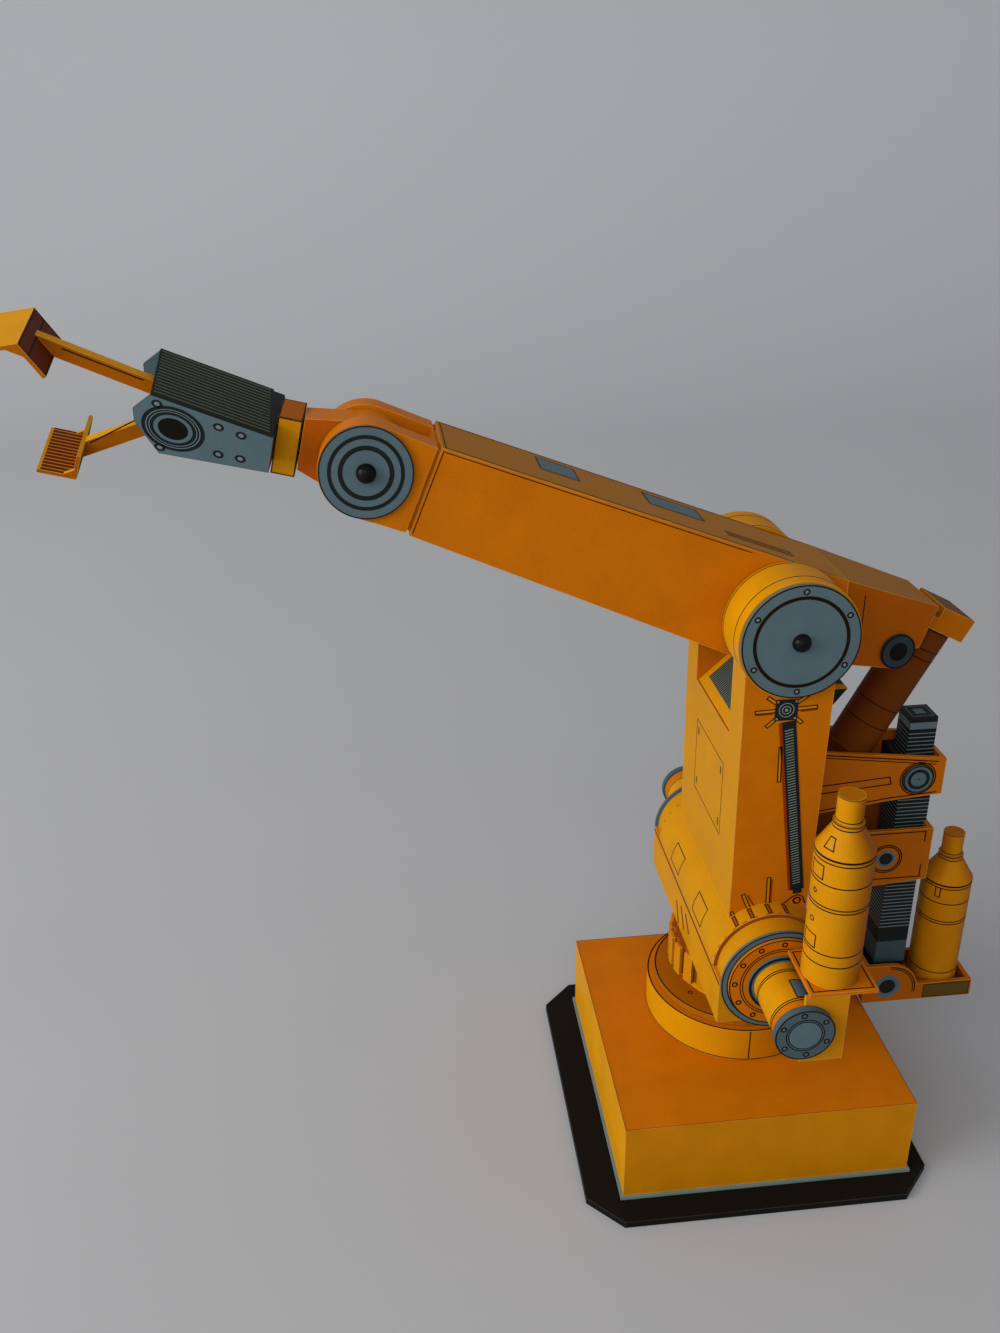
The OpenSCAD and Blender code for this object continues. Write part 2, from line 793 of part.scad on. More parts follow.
module forearm_box() {
    color("#e59a12") in_forearm() difference() {
        union() {
            across(forearm_w) forearm_side();
            across(forearm_w - 2 * groove_d) translate([0, groove_d - front_down])
                square([forearm_l + groove_w, front_up + front_down - 2 * groove_d]);
        }
        rod(pivot_bore, -forearm_w, forearm_w);
    }
}

module ear_side() {
    polygon([
        [-rear_x, ear_top(-rear_x)],
        [-ear_tip_x, ear_top(-ear_tip_x)],
        [-ear_tip_x + ear_rake, -link_pivot_drop],
        [-link_pivot_x, -link_pivot_drop],
        [-link_pivot_x, -link_pivot_drop - link_ring_r - link_rim],
        [-rear_x, -rear_down]]);
    translate([-link_pivot_x, -link_pivot_drop]) circle(r = link_ring_r + link_rim);
}

module ear_roof_side() {
    polygon([
        [-rear_x, ear_top(-rear_x)],
        [-ear_tip_x, ear_top(-ear_tip_x)],
        [-ear_tip_x, ear_top(-ear_tip_x) - ear_t],
        [-rear_x, ear_top(-rear_x) - ear_t]]);
}

module ear_plan(inset) {
    polygon([
        [-rear_x, 0],
        [-rear_x, forearm_w / 2 - inset],
        [-ear_tip_x - ear_t, ear_tip_w / 2 - inset - ear_t * tan(ear_turn)],
        [-ear_tip_x - ear_t, 0]]);
}

module ear_prism() {
    translate([0, 0, -2 * elbow_drum_r]) linear_extrude(height = 4 * elbow_drum_r) children();
}

module rear_ears() {
    color("#d98a16") at_elbow() difference() {
        union() {
            both_sides() intersection() {
                across(2 * forearm_w) ear_side();
                ear_prism() difference() {
                    ear_plan(0);
                    ear_plan(ear_t);
                }
            }
            intersection() {
                across(2 * forearm_w) ear_roof_side();
                ear_prism() both_sides() ear_plan(0);
            }
        }
        translate([-link_pivot_x, 0, -link_pivot_drop]) rod(pin_r, -forearm_w, forearm_w);
    }
}

module link_rings() {
    at_y = forearm_w / 2 - (link_pivot_x - rear_x) * tan(ear_turn);
    color("#22262a") at_link() both_sides() translate([0, at_y, 0]) rotate([0, 0, ear_turn])
        rod(link_ring_r, 0, link_ring_t);
}

module link_pin() {
    reach = forearm_w / 2 - (link_pivot_x - rear_x + pin_r) * tan(ear_turn);
    color("#15161a") at_link() rod(pin_r, -reach, reach);
}

module wrist_ear_side() {
    translate([wrist_u, 0]) circle(r = wrist_ear_r);
    polygon([
        [forearm_l + groove_w, front_up - wrist_step],
        [wrist_u, wrist_ear_r],
        [wrist_u, -wrist_ear_r],
        [forearm_l + groove_w, wrist_step - front_down]]);
}

module wrist_ears() {
    color("#e59a12") in_forearm() both_sides() difference() {
        translate([0, (wrist_in + forearm_w / 2) / 2, 0]) across(wrist_ear_t) wrist_ear_side();
        translate([wrist_u, 0, 0]) rod(pin_r, 0, forearm_w);
    }
}

module wrist_discs() {
    y0 = forearm_w / 2;
    color("#8fa3ab") at_wrist() both_sides() difference() {
        rod(wrist_disc_r, y0, y0 + wrist_disc_t);
        rod(pin_r, 0, forearm_w);
    }
}

module wrist_pin() {
    color("#15161a") at_wrist() pin(forearm_w / 2 + wrist_disc_t);
}

module link_head() {
    step_z = head_low + head_front_t;
    color("#d98a16") in_link() difference() {
        union() {
            across(head_w) polygon([
                [-head_back, head_low],
                [-head_back, head_low + head_t],
                [-head_step, head_low + head_t],
                [-head_step, step_z],
                [head_front, step_z],
                [head_front, head_low]]);
            across(2 * link_hub_r) translate([-link_offset + link_r, 0])
                square([link_offset - link_r + link_hub_r, step_z]);
            rod(link_hub_r, -link_hub_w / 2, link_hub_w / 2);
        }
        rod(pivot_bore, -link_hub_w, link_hub_w);
        translate([-link_offset, 0, -link_drop]) cylinder(r = link_r, h = link_drop + head_low);
    }
}

module link_tube() {
    color("#c9761a") in_link() translate([-link_offset, 0, -link_drop])
        cylinder(r = link_r, h = link_drop + head_low);
}

module wrist_tongue() {
    top = [block_rear(tongue_up), tongue_up];
    low = [block_rear(-tongue_down), -tongue_down];
    flank_r = tongue_r - seat_gap;
    color("#dc8f14") at_wrist() difference() {
        union() {
            rod(tongue_r, -tongue_w / 2, tongue_w / 2);
            across(tongue_w)
                polygon([touch(top, flank_r, 1), top, low, touch(low, flank_r, -1)]);
        }
        rod(pivot_bore, -forearm_w, forearm_w);
    }
}

module flange_block() {
    color("#e59a12") in_gripper() translate([block_u - grip_u, 0, -block_drop - grip_w])
        rotate([0, block_lean, 0]) cube([block_t, block_w, block_h], center = true);
}

module gripper_side() {
    polygon([
        [0, 0],
        [cover_l, 0],
        [grip_l, -nose_top],
        [grip_l - nose_rake, -nose_low],
        [heel_u, -heel_h],
        [-rear_rake, -grip_rear_h]]);
}

module gripper_plates() {
    plate_y = (grip_in + grip_y / 2) / 2;
    color("#8fa3ab") difference() {
        in_gripper() {
            translate([0, plate_y, 0]) across(grip_plate_t) gripper_side();
            translate([grip_skew, -plate_y, 0]) across(grip_plate_t) gripper_side();
        }
        at_jaws() rod(pin_r, -grip_y, grip_y);
    }
}

module gripper_cover() {
    half = grip_y / 2;
    color("#23282a") in_gripper() {
        across(2 * grip_in) polygon([
            [0, 0],
            [seat_gap, 0],
            [seat_gap, cover_sheet],
            [cover_l, cover_sheet],
            [cover_l, -cover_t],
            [grip_core_l, -cover_t],
            [grip_core_l, -grip_rear_h],
            [-rear_rake, -grip_rear_h]]);
        linear_extrude(height = cover_sheet) polygon([
            [seat_gap, half],
            [cover_l, half],
            [cover_l + grip_skew, -half],
            [seat_gap + grip_skew, -half]]);
    }
}

module jaw_pin() {
    reach = grip_y / 2 / cos(jaw_yaw) - pin_r * tan(jaw_yaw);
    color("#15161a") at_jaws() rod(pin_r, -reach, reach);
}

module jaw_head(back, fold, tip) {
    n1 = inward(back, fold);
    n2 = inward(fold, tip);
    across(jaw_w) polygon([
        back,
        fold,
        tip,
        tip + jaw_t * n2,
        fold + jaw_t * (n1 + n2) / (1 + n1 * n2),
        back + jaw_t * n1]);
    both_sides() translate([0, (jaw_w - jaw_t) / 2, 0]) across(jaw_t)
        polygon([fold, (fold + tip) / 2, (fold + back) / 2]);
}

module jaw(len, run, side) {
    low = arm_shift - jaw_arm_h / 2;
    high = arm_shift + jaw_arm_h / 2;
    root = len - run + jaw_t / 2;
    difference() {
        union() {
            translate([0, side * (jaw_gap + jaw_arm_t) / 2, 0]) across(jaw_arm_t) {
                circle(r = jaw_hub_r);
                polygon([[0, low], [root + run * low / fold_out, low],
                    [root + run * high / fold_out, high], [0, high]]);
            }
            jaw_head([len - run, 0], [len, fold_out], [len + pad_run, 0]);
        }
        rod(pivot_bore, -jaw_w, jaw_w);
    }
}

module upper_jaw() {
    color("#e59a12") at_jaws() rotate([0, -upper_angle, 0]) jaw(upper_len, upper_back, -1);
}

module lower_jaw() {
    color("#e59a12") at_jaws() rotate([0, -lower_angle, 0]) mirror([0, 0, 1])
        jaw(lower_len, lower_back, 1);
}

base_plate();
base_skirt();
base_box();
turntable_drum();
turntable_disc();
turntable_collar();
ribbed_boss();
shoulder_housing();
flange_ring();
bolt_ring();
motor_ring();
shoulder_motor();
motor_cap();
far_drum();
far_disc();
upright();
elbow_drums();
elbow_discs();
elbow_pin();
elbow_bellows();
top_lever();
lever_nut();
lever_pivots();
mid_bracket();
screw_tray();
screw_column();
screw_top();
motor_shelf();
shelf_plate();
side_motor();
tray_motor();
forearm_box();
rear_ears();
link_rings();
link_pin();
wrist_ears();
wrist_discs();
wrist_pin();
link_head();
link_tube();
wrist_tongue();
flange_block();
gripper_plates();
gripper_cover();
jaw_pin();
upper_jaw();
lower_jaw();
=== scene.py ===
"""Finishes and printed details of a card model robot arm, set on its solids."""

import json
import math

import bpy
from bpy.props import FloatProperty, FloatVectorProperty, PointerProperty
from mathutils import Matrix, Vector


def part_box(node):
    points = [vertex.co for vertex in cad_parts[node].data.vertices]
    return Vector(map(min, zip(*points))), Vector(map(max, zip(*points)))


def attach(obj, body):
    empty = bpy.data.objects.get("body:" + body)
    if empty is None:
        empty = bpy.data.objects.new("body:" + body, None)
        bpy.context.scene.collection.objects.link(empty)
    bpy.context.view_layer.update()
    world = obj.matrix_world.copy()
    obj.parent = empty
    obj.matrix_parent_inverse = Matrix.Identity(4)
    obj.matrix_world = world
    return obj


bl_info = {
    "name": "Card model robot arm",
    "version": (1, 0, 0),
    "blender": (4, 5, 0),
    "location": "View3D > Sidebar > Card arm",
    "description": "Printed card finishes and details of a card model robot arm",
    "category": "Object",
}

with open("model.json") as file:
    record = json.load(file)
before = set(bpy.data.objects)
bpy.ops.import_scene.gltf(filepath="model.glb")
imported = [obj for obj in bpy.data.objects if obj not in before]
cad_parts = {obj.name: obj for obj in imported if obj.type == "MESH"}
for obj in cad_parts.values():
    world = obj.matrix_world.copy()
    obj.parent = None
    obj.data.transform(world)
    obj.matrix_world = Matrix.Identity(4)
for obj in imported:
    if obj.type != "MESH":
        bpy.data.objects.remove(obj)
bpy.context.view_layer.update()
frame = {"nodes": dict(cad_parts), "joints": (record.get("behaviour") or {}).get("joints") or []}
NODES = frame["nodes"]
JOINTS = {joint["name"]: joint for joint in frame["joints"]}
MM = 0.001
UP = Vector((0, 0, 1))
SIDE = Vector((0, 1, 0))
AHEAD = Vector((1, 0, 0))

# Places of the pivots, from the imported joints, and of the shoulder's axis
ELBOW, WRIST, LINK, JAWS = [Vector(JOINTS[name]["pos_m"]) for name in (
    "elbow", "wrist_pitch", "link_pivot", "upper_jaw_swing")]
SHOULDER = Vector((1.0, 0, 65.7)) * MM

# Lines of the forearm, the rear link and the gripper
ARM = (WRIST - ELBOW).normalized()
ARM_UP = ARM.cross(SIDE)
LINK_LEAN = math.radians(27)
TUBE = Vector((-math.sin(LINK_LEAN), 0, math.cos(LINK_LEAN)))
GRIP_ROLL = math.radians(-10)
GRIP_SIDE = SIDE * math.cos(GRIP_ROLL) + ARM_UP * math.sin(GRIP_ROLL)
GRIP_UP = ARM_UP * math.cos(GRIP_ROLL) - SIDE * math.sin(GRIP_ROLL)
GRIP = WRIST + (ARM * 21.48 + ARM_UP * 2.3) * MM
GRIP_HALF = 12.7
GRIP_SKEW = 2.8
JAW_SIDE = -Vector(JOINTS["upper_jaw_swing"]["axis"])
JAW_AHEAD = JAW_SIDE.cross(GRIP_UP)

# Near and far side, with the word that names their prints
SIDES = ((1, "near"), (-1, "far"))
# Height of a print laid over another, and width of the outline of a small print, in millimetres
OVER = 0.04
THIN = 0.26


def linear(code):
    """Linear colour of an sRGB hex code."""
    parts = [int(code[i:i + 2], 16) / 255 for i in (1, 3, 5)]
    return tuple(c / 12.92 if c <= 0.04045 else ((c + 0.055) / 1.055) ** 2.4 for c in parts)


def colour(name, description, code):
    return FloatVectorProperty(
        name=name, description=description, subtype="COLOR", min=0, max=1, default=linear(code))


def length(name, description, millimetres):
    return FloatProperty(
        name=name, description=description, unit="LENGTH", min=0, default=millimetres * MM)


class CardColours(bpy.types.PropertyGroup):
    """Colours of the printed card and of the inks on it."""
    orange: colour("Orange", "Card of the arm and the upright's sides", "#c66c03")
    # Yellow is card of the drums and motors, and on front faces towards the window it is also painted
    # light.
    yellow: colour("Yellow", "Card of the drums, motors and front faces", "#d18e06")
    # Gold is the printed colour of ribs and fittings, and on faces turned away from the window and on
    # shaded tops it is painted shade.
    gold: colour("Gold", "Card between orange and yellow, on turned away faces", "#c57d05")
    brown: colour("Brown", "Shaded card of the jaws, the drive and the link", "#94490a")
    rust: colour("Rust", "Red brown shadows printed beside the details", "#8e3404")
    # Maroon is the printed field of the jaw pads, and on the upper jaw's back it is painted shade.
    maroon: colour("Maroon", "Fields of the jaw pads and the upper jaw's back", "#5e2104")
    grey: colour("Grey blue", "Card of the discs, rings and gripper plates", "#55696f")
    steel: colour("Steel", "Lighter grey of bolts, inner discs and screw lines", "#6f7f84")
    dark: colour("Dark", "Printed fields of the screw, cover and bellows", "#1d2120")
    black: colour("Black", "Board of the base plate", "#161310")
    strip: colour("Strip", "Thin strip at the foot of the base box", "#74837d")
    ink: colour("Ink", "Outlines printed on the card", "#1e1107")
    olive: colour("Olive", "Ribs of the gripper cover", "#4b5541")
    khaki: colour("Khaki", "Panel on the tray's wall", "#5b4819")
    pale: colour("Pale ink", "Fine lines printed on dark fields", "#7d8a7c")
    edge: colour("Cut edge", "Bare card along cut and folded edges", "#dcae4e")
    pin: colour("Pin", "Enamel of the ball pins", "#0b0b0d")
    floor: colour("Floor", "Paper that the model stands on", "#b0b0b1")


class CardSizes(bpy.types.PropertyGroup):
    """Sizes of the printed details."""
    line: length("Line", "Width of a printed outline", 0.32)
    fine: length("Fine line", "Width of the finest printed lines", 0.22)
    lift: length("Lift", "Height of a print over the card", 0.02)
    film: length("Film", "Thickness of a printed film", 0.03)
    bolt: length("Bolt", "Radius of a printed bolt head", 0.8)
    edge: length("Worn edge", "Width of the bare card along an edge", 0.3)


def hues():
    return bpy.context.scene.card_colours


def sizes():
    return bpy.context.scene.card_sizes


def widths():
    """Widths of the printed outlines and of the finest lines, in millimetres."""
    return sizes().line / MM, sizes().fine / MM


# Nodes

def add(tree, kind, inputs=None, **settings):
    """Adds a node with its settings, values and links."""
    node = tree.nodes.new("ShaderNode" + kind)
    for key, value in settings.items():
        setattr(node, key, value)
    for key, value in (inputs or {}).items():
        if isinstance(value, bpy.types.NodeSocket):
            tree.links.new(value, node.inputs[key])
        else:
            node.inputs[key].default_value = value
    return node


def started(name):
    """New material with an empty tree."""
    material = bpy.data.materials.new(name)
    material.use_nodes = True
    material.node_tree.nodes.clear()
    return material, material.node_tree


def toned(rgb, share):
    return tuple(c * share for c in rgb)


def mixed(tree, share, low, high, blend="MIX"):
    """Mix of two colours, or of the sockets that give them."""
    low, high = [c if isinstance(c, bpy.types.NodeSocket) else (*c, 1) for c in (low, high)]
    return add(tree, "Mix", {0: share, 6: low, 7: high}, data_type="RGBA", blend_type=blend).outputs[2]


def maths(tree, operation, *values):
    return add(tree, "Math", dict(enumerate(values)), operation=operation).outputs[0]


def ranged(tree, value, *bounds):
    """Value carried from one range to another, each given by its two ends."""
    return add(tree, "MapRange", dict(enumerate((value, *bounds)))).outputs[0]


def dot(tree, one, other):
    return add(tree, "VectorMath", {0: one, 1: other}, operation="DOT_PRODUCT").outputs[1]


def spot_of(tree):
    return add(tree, "TexCoord").outputs["Object"]


def noise(tree, size, detail):
    """Noise with lumps of a size in millimetres."""
    return add(tree, "TexNoise", {
        "Vector": spot_of(tree), "Scale": 1 / (size * MM), "Detail": detail}).outputs[0]


def along(tree, axis):
    """Distance along an axis from the origin."""
    return dot(tree, spot_of(tree), axis)


def away(tree, axis):
    """Distance from an axis through the origin."""
    turn = add(tree, "VectorMath", {0: spot_of(tree), 1: axis}, operation="CROSS_PRODUCT")
    return add(tree, "VectorMath", {0: turn.outputs[0]}, operation="LENGTH").outputs[1]


def surfaced(material, inputs):
    """Ends a material's tree with its shader."""
    tree = material.node_tree
    shader = add(tree, "BsdfPrincipled", inputs)
    tree.links.new(shader.outputs[0], add(tree, "OutputMaterial").inputs[0])
    return material


# Masks: each gives a function that draws it into a material's tree

def bands(measure, axis, *spans):
    """One where the distance along or away from an axis, in millimetres, lies in any span."""
    def mask(tree):
        value = measure(tree, axis)
        found, *others = [maths(tree, "COMPARE", value, (low + high) / 2 * MM, (high - low) / 2 * MM)
                          for low, high in spans]
        for other in others:
            found = maths(tree, "MAXIMUM", found, other)
        return found
    return mask


def stripes(axis, pitch, width):
    """Evenly spaced lines along an axis, in millimetres."""
    def mask(tree):
        step = maths(tree, "FLOORED_MODULO", along(tree, axis), pitch * MM)
        return maths(tree, "LESS_THAN", step, width * MM)
    return mask


def looks(tree, direction):
    """How far a face looks along a direction of the piece."""
    return dot(tree, add(tree, "TexCoord").outputs["Normal"], direction)


def facing(direction, limit=0.7):
    """One on the faces that look along a direction of the piece."""
    return lambda tree: maths(tree, "GREATER_THAN", looks(tree, direction), limit)


def turned(direction):
    """Mask of painted shade: rises smoothly from faces that look along a direction, towards the light,
    to those that look away.
    """
    lit, shaded = 0.85, -0.25
    return lambda tree: ranged(tree, looks(tree, direction), lit, shaded, 0.0, 1.0)


def where_both(one, other):
    return lambda tree: maths(tree, "MULTIPLY", one(tree), other(tree))


# Materials

def card(name, base, marks=(), rim=None, worn=1.0):
    """Printed card: satin ink with faint mottling, paper fibre and bare worn edges.

    Each mark is a pair of a function that gives a mask and the colour that it lays on, which for some
    marks is print and for others painted light and shade.
    """
    material, tree = started(name)
    # Ink lies unevenly in patches of about 9 mm, and paper fibres are about 0.5 mm
    mottle, fibre = noise(tree, 9, 4.0), noise(tree, 0.5, 2.0)
    tone = mixed(tree, mottle, toned(base, 0.84), toned(base, 1.14))
    for mask, print_and_shade_colour in marks:
        inked_and_shaded = mixed(tree, mottle, toned(print_and_shade_colour, 0.86), toned(print_and_shade_colour, 1.12))
        tone = mixed(tree, mask(tree), tone, inked_and_shaded)
    speck = mixed(tree, fibre, (0.88,) * 3, (1.08,) * 3)
    tone = mixed(tree, 1.0, tone, speck, "MULTIPLY")
    # The bevel's normal leaves the face's own close to an edge, where the ink is rubbed off
    soft = add(tree, "Bevel", {"Radius": sizes().edge}, samples=6).outputs[0]
    plain = add(tree, "NewGeometry").outputs["Normal"]
    rub = ranged(tree, dot(tree, soft, plain), 0.985, 0.86, 0.0, worn)
    patchy = ranged(tree, mottle, 0.36, 0.6, 0.35, 0.95)
    tone = mixed(tree, maths(tree, "MULTIPLY", rub, patchy), tone, rim or hues().edge)
    gloss = ranged(tree, mottle, 0.3, 0.7, 0.42, 0.56)
    bump = add(tree, "Bump", {"Strength": 0.12, "Distance": 0.05 * MM, "Height": fibre}).outputs[0]
    return surfaced(material, {
        "Base Color": tone, "Roughness": gloss, "IOR": 1.45,
        "Specular IOR Level": 0.06, "Normal": bump})


def enamel(name, base):
    """Enamel of a pin's ball head: glossy, with a faint ripple of dipped paint."""
    material, tree = started(name)
    ripple = noise(tree, 1.2, 2.0)
    tone = mixed(tree, ripple, base, toned(base, 1.8))
    gloss = ranged(tree, ripple, 0.0, 1.0, 0.14, 0.26)
    bump = add(tree, "Bump", {"Strength": 0.1, "Distance": 0.04 * MM, "Height": ripple}).outputs[0]
    return surfaced(material, {
        "Base Color": tone, "Roughness": gloss, "IOR": 1.5,
        "Specular IOR Level": 0.09, "Normal": bump})


def paper(name, base):
    """White drawing paper under the model: matt, with soft clouds of tone."""
    material, tree = started(name)
    cloud = noise(tree, 260, 3.0)
    tone = mixed(tree, cloud, toned(base, 0.94), toned(base, 1.05))
    # The sheet's back rises out of the window's reach, so painted light makes its paper paler there
    rise = ranged(tree, along(tree, -SIDE), 0.1, 1.4, 0.0, 1.0)
    tone = mixed(tree, rise, tone, toned(base, 1.42))
    return surfaced(material, {"Base Color": tone, "Roughness": 0.8, "Specular IOR Level": 0.2})


def ink(key):
    """Printed film of one of the named colours, made once."""
    name = key + " printing ink"
    kept = bpy.data.materials.get(name)
    return kept or card(name, getattr(hues(), key), worn=0.0)


# Shapes

def face(origin, right, up):
    """Frame of a flat face: right and up lie in it, and its normal looks out."""
    right = Vector(right).normalized()
    up = Vector(up).normalized()
    turn = Matrix((right, up, right.cross(up))).transposed().to_4x4()
    return Matrix.Translation(origin) @ turn


def facing_frame(middle, up, out):
    """Frame of a flat face from its middle, its up line and the way that it looks."""
    return face(middle, up.cross(out), up)


def flank(y, side=1):
    """Face that looks to the near side, or to the far one: right is backwards, or ahead."""
    return face((0, y * side, 0), -AHEAD * side, UP)


def end_face(name, side=1):
    """Flank at the near end of a solid, or its mirror image on the far side."""
    return flank(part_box(name)[1].y, side)


def top_face(height):
    """Level face at a height: right is ahead, and up is the near side."""
    return face((0, 0, height), AHEAD, SIDE)


def raised(at, millimetres):
    return at @ Matrix.Translation((0, 0, millimetres * MM))


def mode(name):
    bpy.ops.object.mode_set(mode=name)


def alone():
    if bpy.context.object and bpy.context.object.mode != "OBJECT":
        mode("OBJECT")
    bpy.ops.object.select_all(action="DESELECT")


def on_face(at, x, y, turn=0.0):
    return at @ Matrix.Translation((x * MM, y * MM, sizes().lift)) @ Matrix.Rotation(turn, 4, "Z")


def disc(at, x, y, radius, corners=40):
    """Flat round patch on a face."""
    alone()
    spot = on_face(at, x, y)
    bpy.ops.mesh.primitive_circle_add(
        vertices=corners, radius=radius * MM, fill_type="NGON",
        location=spot.translation, rotation=spot.to_euler())
    return bpy.context.object


def ring(at, x, y, radius, width, corners=40):
    """Flat ring on a face, from its outer radius inwards."""
    made = disc(at, x, y, radius, corners)
    mode("EDIT")
    bpy.ops.mesh.select_all(action="SELECT")
    bpy.ops.mesh.inset(thickness=width * MM)
    bpy.ops.mesh.delete(type="FACE")
    mode("OBJECT")
    return made


def rings(at, x, y, corners, *bounds):
    """Flat rings round one centre, each given by its outer radius and its width."""
    return [ring(at, x, y, radius, width, corners) for radius, width in bounds]


def bar(at, start, end, width, cuts=0):
    """Flat strip on a face from one point to another."""
    alone()
    run = Vector(end) - Vector(start)
    middle = (Vector(start) + Vector(end)) / 2
    spot = on_face(at, middle.x, middle.y, math.atan2(run.y, run.x))
    bpy.ops.mesh.primitive_plane_add(size=1, location=spot.translation, rotation=spot.to_euler())
    made = bpy.context.object
    made.scale = (run.length * MM, width * MM, 1)
    bpy.ops.object.transform_apply(location=False, rotation=False, scale=True)
    if cuts:
        mode("EDIT")
        bpy.ops.mesh.subdivide(number_cuts=cuts)
        mode("OBJECT")
    return made


def patch(at, x0, y0, x1, y1, cuts=0):
    """Flat box on a face, from one corner to the other."""
    level = (y0 + y1) / 2
    return bar(at, (x0, level), (x1, level), y1 - y0, cuts)


def outline(at, points, width, closed=True, cuts=0):
    """Strips along a row of points, each run on by half its width at the corners."""
    strips = []
    for start, end in zip(points, points[1:] + points[:1] if closed else points[1:]):
        start, end = Vector(start), Vector(end)
        over = (end - start).normalized() * width / 2
        strips.append(bar(at, start - over, end + over, width, cuts))
    return strips


def sides_of(start, end, width):
    """Corners of a strip from one point to another."""
    start, end = Vector(start), Vector(end)
    run = (end - start).normalized()
    across = Vector((-run.y, run.x)) * width / 2
    return [start + across, end + across, end - across, start - across]


def drawn_out(parts):
    """Parts stretched along the arm, as the gripper's rings are printed."""
    stretch, squeeze = 1.15, 0.84
    for part in parts:
        part.scale = (stretch, squeeze, 1)
    return parts


def box_of(x0, y0, x1, y1):
    return [(x0, y0), (x1, y0), (x1, y1), (x0, y1)]


def arc(at, x, y, radius, width, start, end, steps=14):
    """Strips along part of a circle."""
    turns = [math.radians(start + (end - start) * i / steps) for i in range(steps + 1)]
    points = [(x + radius * math.cos(t), y + radius * math.sin(t)) for t in turns]
    return outline(at, points, width, closed=False)


def around(x, y, radius, count, start=90.0):
    """Points evenly spaced on a circle."""
    turns = [math.radians(start + 360 * i / count) for i in range(count)]
    return [(x + radius * math.cos(t), y + radius * math.sin(t)) for t in turns]


def hoop(centre, axis, radius, width, corners=72):
    """Open band round a drum."""
    alone()
    bpy.ops.mesh.primitive_cylinder_add(
        vertices=corners, radius=radius * MM + sizes().lift, depth=width * MM,
        end_fill_type="NOTHING", location=centre,
        rotation=Vector(axis).to_track_quat("Z", "Y").to_euler())
    return bpy.context.object


def round_face(centre, radius, degrees):
    """Face that touches a standing drum, at an angle from straight ahead."""
    turn = math.radians(degrees)
    look = Vector((math.cos(turn), math.sin(turn), 0))
    return facing_frame(centre + look * radius * MM, UP, look)


def lying_face(centre, radius, degrees):
    """Face that touches a drum lying across the arm, at an angle up from straight ahead."""
    turn = math.radians(degrees)
    look = Vector((math.cos(turn), 0, math.sin(turn)))
    return face(centre + look * radius * MM, SIDE, look.cross(SIDE))


def printed(name, parts, key, body="turret", wrap=None, film=None):
    """Joins flat parts into one print, lays it on its card and gives it its film."""
    alone()
    for part in parts:
        part.select_set(True)
    bpy.context.view_layer.objects.active = parts[0]
    if len(parts) > 1:
        bpy.ops.object.join()
    piece = bpy.context.object
    piece.name = name
    piece.data.name = name
    bpy.ops.object.transform_apply(location=True, rotation=True, scale=True)
    if wrap:
        lay = piece.modifiers.new("lay", "SHRINKWRAP")
        lay.target = NODES[wrap]
        lay.wrap_method = "NEAREST_SURFACEPOINT"
        lay.wrap_mode = "ABOVE_SURFACE"
        lay.offset = sizes().lift
        bpy.ops.object.modifier_apply(modifier=lay.name)
    wall = piece.modifiers.new("film", "SOLIDIFY")
    wall.thickness = sizes().film if film is None else film * MM
    wall.offset = 1
    bpy.ops.object.modifier_apply(modifier=wall.name)
    piece.data.materials.clear()
    piece.data.materials.append(ink(key))
    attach(piece, body)


# Finishes

def mid(one, other):
    return tuple((a + b) / 2 for a, b in zip(one, other))


